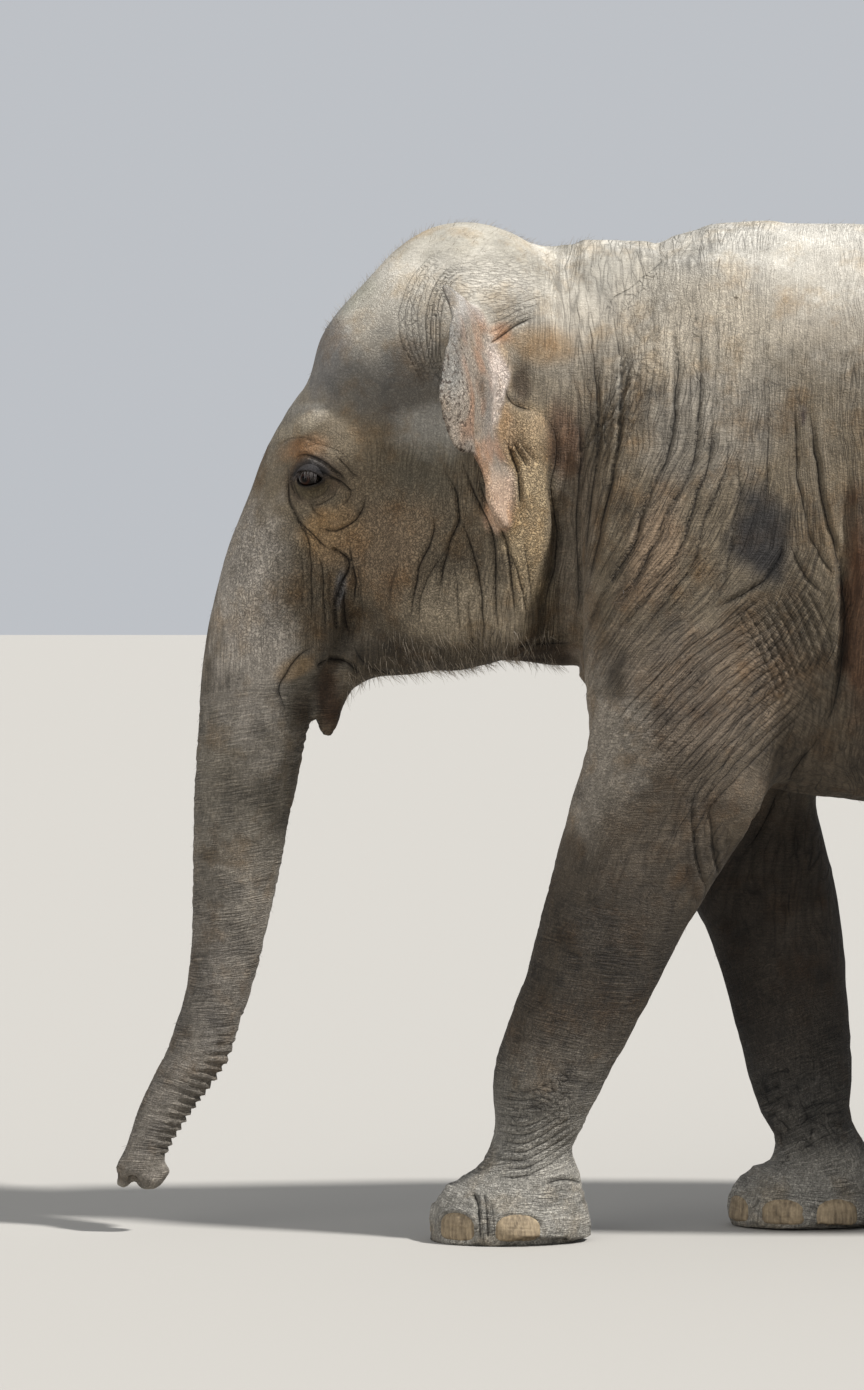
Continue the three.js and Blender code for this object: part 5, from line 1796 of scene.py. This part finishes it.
@dataclass
class Nails:
    """The nails round the front of each foot: thin plates of horn that follow the foot's curve."""

    body: Body
    finish: NailHorn = NailHorn()
    # How far a nail stands out over its bed in the middle and at its edge, and how deep its root is.
    proud: float = 2.5 * MM
    edge: float = -2.5 * MM
    root: float = 12 * MM
    ROUND, RINGS = 44, 10

    def make(self) -> list[bpy.types.Object]:
        """A piece for each nail, in place of its node."""
        horn = self.finish.make()
        return [self.plate(NailBed(name), horn) for name in NAILS]

    def surface(self, bed: NailBed, start: Array) -> Array:
        """How far out from each start the foot's skin is, by halving."""
        word, side = bed.name.split("_")[:2]
        leg = self.body.legs[word, Side[side.upper()]]
        low, high = np.full(len(start), -90 * MM), np.full(len(start), 60 * MM)
        for _ in range(14):
            middle = (low + high) / 2
            outside = leg.distance(start + middle[:, None] * bed.out) > -Skin.COAT
            low, high = np.where(outside, low, middle), np.where(outside, middle, high)
        return low

    def plate(self, bed: NailBed, horn: bpy.types.Material) -> bpy.types.Object:
        """One nail.

        Args:
            bed: where it lies.
            horn: its material.
        Returns:
            The piece.
        """
        turn = 2 * math.pi * np.arange(self.ROUND) / self.ROUND
        x, z = np.cos(turn), np.sin(turn)
        edge = bed.reach(x, z)
        share = np.arange(1, self.RINGS + 1)[:, None] / self.RINGS
        a, b = (np.append((share * w / edge).ravel(), 0) for w in (x, z))
        r = np.append(share.repeat(self.ROUND), 0)
        flat = bed.centre + a[:, None] * bed.half[0] * bed.across
        flat[:, 2] = np.maximum(flat[:, 2] + b * bed.half[1], 1.5 * MM)
        skin = self.surface(bed, flat)
        grown = 0.5 * MM * np.sin(2 * math.pi * flat[:, 2] / (9 * MM) + 2 * a)
        front = skin + self.edge + (self.proud - self.edge) * (1 - r**5) + grown * (1 - r**4)
        points = np.vstack([flat + off[:, None] * bed.out for off in (front, skin - self.root)])
        hub = self.ROUND * self.RINGS
        faces = []
        for base, way in ((0, 1), (hub + 1, -1)):
            for k in range(self.ROUND):
                n = (k + 1) % self.ROUND
                faces.append((base + hub, base + k, base + n)[::way])
                for i in range(self.RINGS - 1):
                    corners = ((i, k), (i + 1, k), (i + 1, n), (i, n))
                    faces.append(tuple(base + ring * self.ROUND + q for ring, q in corners)[::way])
        rim, back = (self.RINGS - 1) * self.ROUND, hub + 1
        for k in range(self.ROUND):
            n = (k + 1) % self.ROUND
            faces.append((rim + k, back + rim + k, back + rim + n, rim + n))
        thing = closed(new_object(bed.name.replace("nail", "horn"), points, faces))
        thing.data.materials.append(horn)
        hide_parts(bed.name)
        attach(thing, "root")
        return thing


@dataclass(frozen=True)
class EyeBall:
    """A dark, wet eye: brown-black white, amber iris, black pupil."""

    name: str = "eye"
    iris: str = "#2B150B"
    white: str = "#0E0907"

    def make(self) -> bpy.types.Material:
        """The material, which reads how far each place is from the eye's axis."""
        material, tree = blank(self.name)
        share = out_of(tree, "ShaderNodeAttribute", out="Fac", attribute_name="from_axis")
        ramp = add(tree, "ShaderNodeValToRGB", {"Fac": share})
        stops = ((0.0, "#030202"), (0.22, "#030202"), (0.27, "#1A0D07"), (0.38, self.iris),
                 (0.48, "#180C07"), (0.54, self.white), (1.0, "#0A0706"))
        ramp.color_ramp.elements[0].position, ramp.color_ramp.elements[0].color = 0.0, linear(stops[0][1])
        ramp.color_ramp.elements[1].position, ramp.color_ramp.elements[1].color = 1.0, linear(stops[-1][1])
        for at, colour in stops[1:-1]:
            ramp.color_ramp.elements.new(at).color = linear(colour)
        finished(tree, {"Base Color": ramp.outputs[0], "Roughness": 0.1, "IOR": 1.38,
                        "Specular IOR Level": 0.2})
        return material


@dataclass
class Eyes:
    """The two eyeballs, each with a slight bulge over the iris."""

    frame_: EyeFrame
    finish: EyeBall = EyeBall()
    ROUND, RINGS = 48, 32
    IRIS = 0.56

    def make(self) -> list[bpy.types.Object]:
        """A piece for each eye."""
        wet = self.finish.make()
        return [self.ball(side, wet) for side in Side]

    def ball(self, side: Side, wet: bpy.types.Material) -> bpy.types.Object:
        """One eyeball, looking outwards and a little forwards."""
        look = self.frame_.out + 0.10 * self.frame_.ahead - 0.05 * self.frame_.up
        look = look / np.linalg.norm(look)
        ahead = self.frame_.ahead - look * (look @ self.frame_.ahead)
        ahead /= np.linalg.norm(ahead)
        up = np.cross(look, ahead)
        radius = EYE_RADIUS * MM
        points, share = [], []
        for i in range(self.RINGS + 1):
            t = math.pi * i / self.RINGS
            bulge = 1.3 * MM * max(0, 1 - (math.sin(t) / self.IRIS) ** 2) if t < math.pi / 2 else 0
            for k in range(self.ROUND):
                a = 2 * math.pi * k / self.ROUND
                way = look * math.cos(t) + (ahead * math.cos(a) + up * math.sin(a)) * math.sin(t)
                points.append(self.frame_.centre + way * (radius + bulge))
                share.append(math.sin(t) if t < math.pi / 2 else 1)
        faces = []
        for i in range(self.RINGS):
            for k in range(self.ROUND):
                a, b = i * self.ROUND + k, i * self.ROUND + (k + 1) % self.ROUND
                faces.append((a, b, b + self.ROUND, a + self.ROUND))
        points = np.array(points)
        points[:, 1] *= side.value
        thing = new_object(f"eyeball_{side.word}", points, faces)
        set_attribute(thing.data, "from_axis", np.array(share))
        closed(thing).data.materials.append(wet)
        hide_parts(f"eye_{side.word}")
        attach(thing, "root")
        return thing


# ------------ bristles


@dataclass(frozen=True)
class Hair:
    """Coarse bristle of keratin, dull and a little waxy."""

    name: str
    colour: str
    roughness: float = 0.5
    root: str = "#0C0A09"

    def make(self) -> bpy.types.Material:
        """The material, darker in patches 30 mm wide."""
        material, tree = blank(self.name)
        place = out_of(tree, "ShaderNodeTexCoord", out="Object")
        share = ranged(tree, noise_of(tree, place, 33).outputs[0], 0.35, 0.65, 0.55, 1)
        base = mixed(tree, share, linear(self.root), linear(self.colour))
        finished(tree, {"Base Color": base, "Roughness": self.roughness})
        return material


class Coat(Enum):
    """The finishes of the bristles."""

    DARK = Hair("bristle_dark", "#3A3029")
    PALE = Hair("bristle_pale", "#9A8C79")
    BLACK = Hair("bristle_black", "#1D1815", 0.42)


@dataclass
class Roots:
    """Where bristles stand: root, the way each points, its length, and its place on the unwrap."""

    at: Array
    lie: Array
    length: Array

    def unwrapped(self) -> Array:
        """Each root's place on an unwrap of the skin: along the body, then round its midline."""
        low, high = np.array(CAD_BOX)
        along = (self.at[:, 0] - low[0]) / (high[0] - low[0])
        round_ = np.arctan2(self.at[:, 1], self.at[:, 2] - high[2] / 2) / (2 * math.pi) + 0.5
        return np.column_stack([along, round_, np.zeros(len(along))])


@dataclass
class Bristles:
    """A piece of coat: tapering, bending blades of three sides, one on each root."""

    name: str
    roots: Roots
    coat: Coat
    replaced: tuple[str, ...] = ()
    thickness: float = 0.026
    bend: float = 0.25
    wander: float = 3.1
    SIDES, SEGMENTS = 3, 3
    PATCH = 0.003

    def tree(self, material: bpy.types.Material) -> bpy.types.GeometryNodeTree:
        """The node tree that grows a blade of unit height on each point, scaled to its length."""
        tree = bpy.data.node_groups.new(self.name, "GeometryNodeTree")
        for name, kind, way in (("Roots", "NodeSocketGeometry", "INPUT"),
                                ("Thickness", "NodeSocketFloat", "INPUT"),
                                ("Bend", "NodeSocketFloat", "INPUT"),
                                ("Wander", "NodeSocketFloat", "INPUT"),
                                ("Coat", "NodeSocketGeometry", "OUTPUT")):
            tree.interface.new_socket(name, in_out=way, socket_type=kind)
        given = add(tree, "NodeGroupInput").outputs

        def math_of(kind: str, a: Socket, b: Socket | float) -> Socket:
            """The result of a Math node."""
            return out_of(tree, "ShaderNodeMath", {0: a, 1: b}, operation=kind)

        cone = out_of(tree, "GeometryNodeMeshCone",
                      {"Vertices": self.SIDES, "Side Segments": self.SEGMENTS, "Radius Top": 0.003,
                       "Radius Bottom": given["Thickness"], "Depth": 1.0})
        place = out_of(tree, "GeometryNodeInputPosition")
        kept = out_of(tree, "GeometryNodeStoreNamedAttribute",
                      {"Geometry": cone, "Name": "blade", "Value": place}, data_type="FLOAT_VECTOR",
                      domain="POINT")
        high = out_of(tree, "ShaderNodeSeparateXYZ", {0: place}, "Z")
        lean = math_of("MULTIPLY", math_of("MULTIPLY", high, high), given["Bend"])
        shift = out_of(tree, "ShaderNodeCombineXYZ", {0: lean})
        blade = out_of(tree, "GeometryNodeSetPosition", {"Geometry": kept, "Offset": shift})
        lie = out_of(tree, "GeometryNodeInputNamedAttribute", {"Name": "lie"}, data_type="FLOAT_VECTOR")
        aim = out_of(tree, "FunctionNodeAlignRotationToVector", {"Vector": lie}, axis="Z")
        least = math_of("MULTIPLY", given["Wander"], -1.0)
        twist = out_of(tree, "FunctionNodeRandomValue", {2: least, 3: given["Wander"], "Seed": SEED}, 1,
                       data_type="FLOAT")
        turn = out_of(tree, "ShaderNodeCombineXYZ", {2: twist})
        turn = out_of(tree, "FunctionNodeEulerToRotation", {0: turn})
        aim = out_of(tree, "FunctionNodeRotateRotation", {0: aim, 1: turn}, rotation_space="LOCAL")
        length = out_of(tree, "GeometryNodeInputNamedAttribute", {"Name": "length"}, data_type="FLOAT")
        stood = out_of(tree, "GeometryNodeInstanceOnPoints",
                       {"Points": given["Roots"], "Instance": blade, "Rotation": aim, "Scale": length})
        real = out_of(tree, "GeometryNodeRealizeInstances", {0: stood})
        done = out_of(tree, "GeometryNodeSetMaterial", {"Geometry": real, "Material": material})
        add(tree, "NodeGroupOutput", {0: done})
        return tree

    def make(self) -> bpy.types.Object:
        """The piece."""
        draft = new_object(self.name + "_roots", self.roots.at, [])
        set_attribute(draft.data, "lie", self.roots.lie)
        set_attribute(draft.data, "length", self.roots.length)
        set_attribute(draft.data, "root_uv", self.roots.unwrapped())
        grown = draft.modifiers.new("grown", "NODES")
        grown.node_group = self.tree(self.coat.value.make())
        values = {"Thickness": self.thickness, "Bend": self.bend, "Wander": self.wander}
        for item in grown.node_group.interface.items_tree:
            if item.name in values:
                grown[item.identifier] = values[item.name]
        mesh = settled(draft)
        mesh.name = self.name
        piece = linked(self.name, mesh)
        self.unwrap(mesh)
        if self.replaced:
            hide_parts(*self.replaced)
        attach(piece, "root")
        return piece

    def unwrap(self, mesh: bpy.types.Mesh) -> None:
        """Lays each blade as a small patch at its root's place."""
        rows = {name: np.empty(len(mesh.vertices) * 3, np.float32) for name in ("blade", "root_uv")}
        for name, values in rows.items():
            mesh.attributes[name].data.foreach_get("vector", values)
            mesh.attributes.remove(mesh.attributes[name])
        blade, root = (values.reshape(-1, 3) for values in rows.values())
        uv = root[:, :2] + self.PATCH * np.column_stack([0.25 * blade[:, 0] / self.thickness, blade[:, 2]])
        layer = mesh.uv_layers.new(name="OFBake")
        layer.uv.foreach_set("vector", uv[corners_of(mesh)].astype(np.float32).ravel())


class Scatter:
    """Chooses roots on the hide, evenly over its area, clear of the eyes and of the floor."""

    EYE, FLOOR = 70 * MM, 90 * MM

    def __init__(self, mesh: bpy.types.Mesh) -> None:
        """Measures the hide's triangles."""
        self.points = points_of(mesh)
        self.faces = corners_of(mesh).reshape(-1, 3)
        a, b, c = (self.points[self.faces[:, i]] for i in range(3))
        cross = np.cross(b - a, c - a)
        self.area = np.linalg.norm(cross, axis=1) / 2
        self.normal = skin_normals(self.points, self.faces)[self.faces].mean(1)
        self.normal /= np.maximum(np.linalg.norm(self.normal, axis=1), 1e-9)[:, None]
        self.middle = (a + b + c) / 3
        self.u, self.v = Elevation.of(self.middle).T
        self.clear = (from_eye(self.middle) > self.EYE) & (self.middle[:, 2] > self.FLOOR)

    def roots(self, count: int, weight: Array, reach: tuple[float, float], flow: tuple[float, ...],
              lift: float, seed: int) -> Roots:
        """Roots over part of the hide.

        Args:
            count: how many.
            weight: how thickly they stand on each triangle.
            reach: their least and greatest lengths in millimetres.
            flow: the way the coat runs.
            lift: how much they stand away from the skin, from 0 to 1.
            seed: for the random numbers.
        Returns:
            The roots.
        """
        random = np.random.default_rng(SEED + seed)
        share = self.area * weight * self.clear
        found = random.choice(len(share), count, p=share / share.sum())
        mix = random.dirichlet((1, 1, 1), count)
        at = (self.points[self.faces[found]] * mix[..., None]).sum(1)
        normal = self.normal[found]
        along = np.array(flow) - normal * (normal @ np.array(flow))[:, None]
        along /= np.maximum(np.linalg.norm(along, axis=1), 1e-6)[:, None]
        lie = along * (1 - lift) + normal * lift + random.normal(0, 0.16, (count, 3))
        lie /= np.linalg.norm(lie, axis=1)[:, None]
        length = random.uniform(*reach, count) * MM
        return Roots(at - normal * 1.5 * MM, lie, length)


@dataclass
class SparseCoat:
    """An adult elephant's scattered bristles: crown, back, flanks, chin, lashes and tail."""

    hide: bpy.types.Object
    eye: EyeFrame

    def make(self) -> list[bpy.types.Object]:
        """Every piece of the coat."""
        on = Scatter(self.hide.data)
        up = on.normal[:, 2]
        crown = (on.u < 590) * (on.v < 330) * step(-0.1, 0.5, up)
        back = step(560, 640, on.u) * step(360, 300, on.v) * step(-0.1, 0.5, up)
        flank = np.ones(len(on.area)) * (on.v < 1180)
        chin = (on.u > 345) * (on.u < 560) * (on.v > 628) * (on.v < 715) * step(-0.1, -0.5, up)
        trunk = (on.u < 330) * (on.v > 560) * (on.v < 1160)
        coats = (("crown", Coat.PALE, 0.018, 2000, crown, (8, 24), (0.5, 0, -0.3), 0.55),
                 ("back", Coat.PALE, 0.02, 2600, back, (8, 22), (1, 0, -0.4), 0.4),
                 ("body", Coat.DARK, 0.026, 3600, flank, (8, 18), (0.5, 0, -1), 0.3),
                 ("trunk", Coat.DARK, 0.026, 900, trunk, (8, 14), (0.2, 0, -1), 0.45),
                 ("chin", Coat.PALE, 0.018, 1100, chin, (16, 40), (0.3, 0, -1), 0.45))
        pieces = [Bristles("bristles_" + place, on.roots(*lay, seed), coat, thickness=thickness)
                  for seed, (place, coat, thickness, *lay) in enumerate(coats, 1)]
        pieces.append(Bristles("tail_hair", self.tail(), Coat.BLACK, ("tail_tuft",), 0.011, 0.05))
        pieces += [Bristles(f"eyelashes_{side.word}", self.lashes(side), Coat.DARK, (), 0.022, 0.18, 0.5)
                   for side in Side]
        return [piece.make() for piece in pieces]

    def lashes(self, side: Side, count: int = 44) -> Roots:
        """Roots along the edge of an upper lid.

        Args:
            side: which eye.
            count: how many lashes.
        Returns:
            The roots.
        """
        random = np.random.default_rng(SEED + 10)
        ahead = np.linspace(-0.86, 0.86, count) + random.normal(0, 0.01, count)
        a = ahead * Lids.HALF_LONG
        b = Lids.ABOVE * (1.1 - ahead**2) ** (1 / 1.7) + 3 * MM * ahead - 2.5 * MM * ahead**2
        c = np.sqrt(np.maximum(((EYE_RADIUS + 6) * MM) ** 2 - a**2 - b**2, 0)) + 1 * MM
        eye = self.eye
        at = eye.centre + np.outer(a, eye.ahead) + np.outer(b, eye.up) + np.outer(c, eye.out)
        lie = (np.outer(0.25 * ahead + 0.12, eye.ahead) + eye.out * 0.62 - eye.up * 0.6
               + random.normal(0, 0.06, (count, 3)))
        lie /= np.linalg.norm(lie, axis=1)[:, None]
        flip = np.array((1, side.value, 1))
        return Roots(at * flip, lie * flip, random.uniform(18, 30, count) * MM)

    def tail(self, count: int = 420) -> Roots:
        """Roots in two rows down the tail's end, with locks that hang from it."""
        random = np.random.default_rng(SEED + 11)
        low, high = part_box("tail_tuft")
        x, bottom, top = (low[0] + high[0]) / 2, low[2], high[2]
        z = top + 40 * MM - random.uniform(0, 1, count) ** 1.3 * 130 * MM
        row = random.choice((-1, 1), count)
        at = np.column_stack([x - 2 * MM + row * random.uniform(4, 13, count) * MM,
                              random.uniform(-9, 9, count) * MM, z])
        lie = np.column_stack([row * random.uniform(0.02, 0.17, count), random.normal(0, 0.03, count),
                               -np.ones(count)])
        lie /= np.linalg.norm(lie, axis=1)[:, None]
        return Roots(at, lie, (z - bottom) * random.uniform(0.6, 1.0, count))


@dataclass
class Studio:
    """A pale floor, soft lamps and the camera."""

    lens: float = 197.5

    def make(self) -> None:
        """Sets it all up."""
        floor = new_object("floor", np.array([(-60, -60, 0), (60, -60, 0), (60, 60, 0), (-60, 60, 0)]),
                           [(0, 1, 2, 3)], False)
        floor.data.materials.append(Plain("studio_floor", "#A29E97", 0.9).make())
        world = bpy.context.scene.world = bpy.data.worlds.new("studio")
        world.use_nodes = True
        sky = world.node_tree.nodes["Background"].inputs
        sky["Color"].default_value, sky["Strength"].default_value = linear("#E1E5EB"), 0.68
        bpy.context.scene.view_settings.view_transform = "Standard"
        self.lamp("key", (4.8, -2.8, 7.0), 5.4, 5)
        self.lamp("fill", (-4.0, -7.0, 3.0), 1.05, 40)
        self.camera()

    @staticmethod
    def lamp(name: str, at: tuple, strength: float, spread: float) -> None:
        """One far lamp, shining from a place towards the middle.

        Args:
            name: its name.
            at: the way it lies, from the middle.
            strength: its strength in watts for each square metre.
            spread: how wide it looks from the elephant, in degrees, which softens its shadows.
        """
        lamp = bpy.data.lights.new(name, "SUN")
        lamp.energy, lamp.angle = strength, math.radians(spread)
        thing = linked(name, lamp)
        thing.rotation_mode = "QUATERNION"
        thing.rotation_quaternion = (-Vector(at)).to_track_quat("-Z", "Y")

    def camera(self) -> None:
        """The camera, square to the elephant's left side and a little above mid-height."""
        at, aim = (placed(place) for place in (Elevation.EYE, Elevation.AIM))
        lens = bpy.data.cameras.new("camera")
        lens.lens, lens.sensor_width, lens.clip_end = self.lens, 36, 200
        thing = bpy.context.scene.camera = linked("camera", lens)
        thing.location = at
        thing.rotation_mode = "QUATERNION"
        thing.rotation_quaternion = (Vector(aim) - Vector(at)).to_track_quat("-Z", "Y")


def main() -> None:
    """Builds the elephant and its studio."""
    body = Body()
    Studio().make()
    hide = HidePiece(body).make()
    log.info("%s: %d triangles", hide.name, len(hide.data.polygons))
    for eye in Eyes(EyeFrame(body)).make():
        log.info("%s: %d faces", eye.name, len(eye.data.polygons))
    log.info("%d nails", len(Nails(body).make()))
    for coat in SparseCoat(hide, EyeFrame(body)).make():
        log.info("%s: %d faces", coat.name, len(coat.data.polygons))


if __name__ == "__main__":
    main()
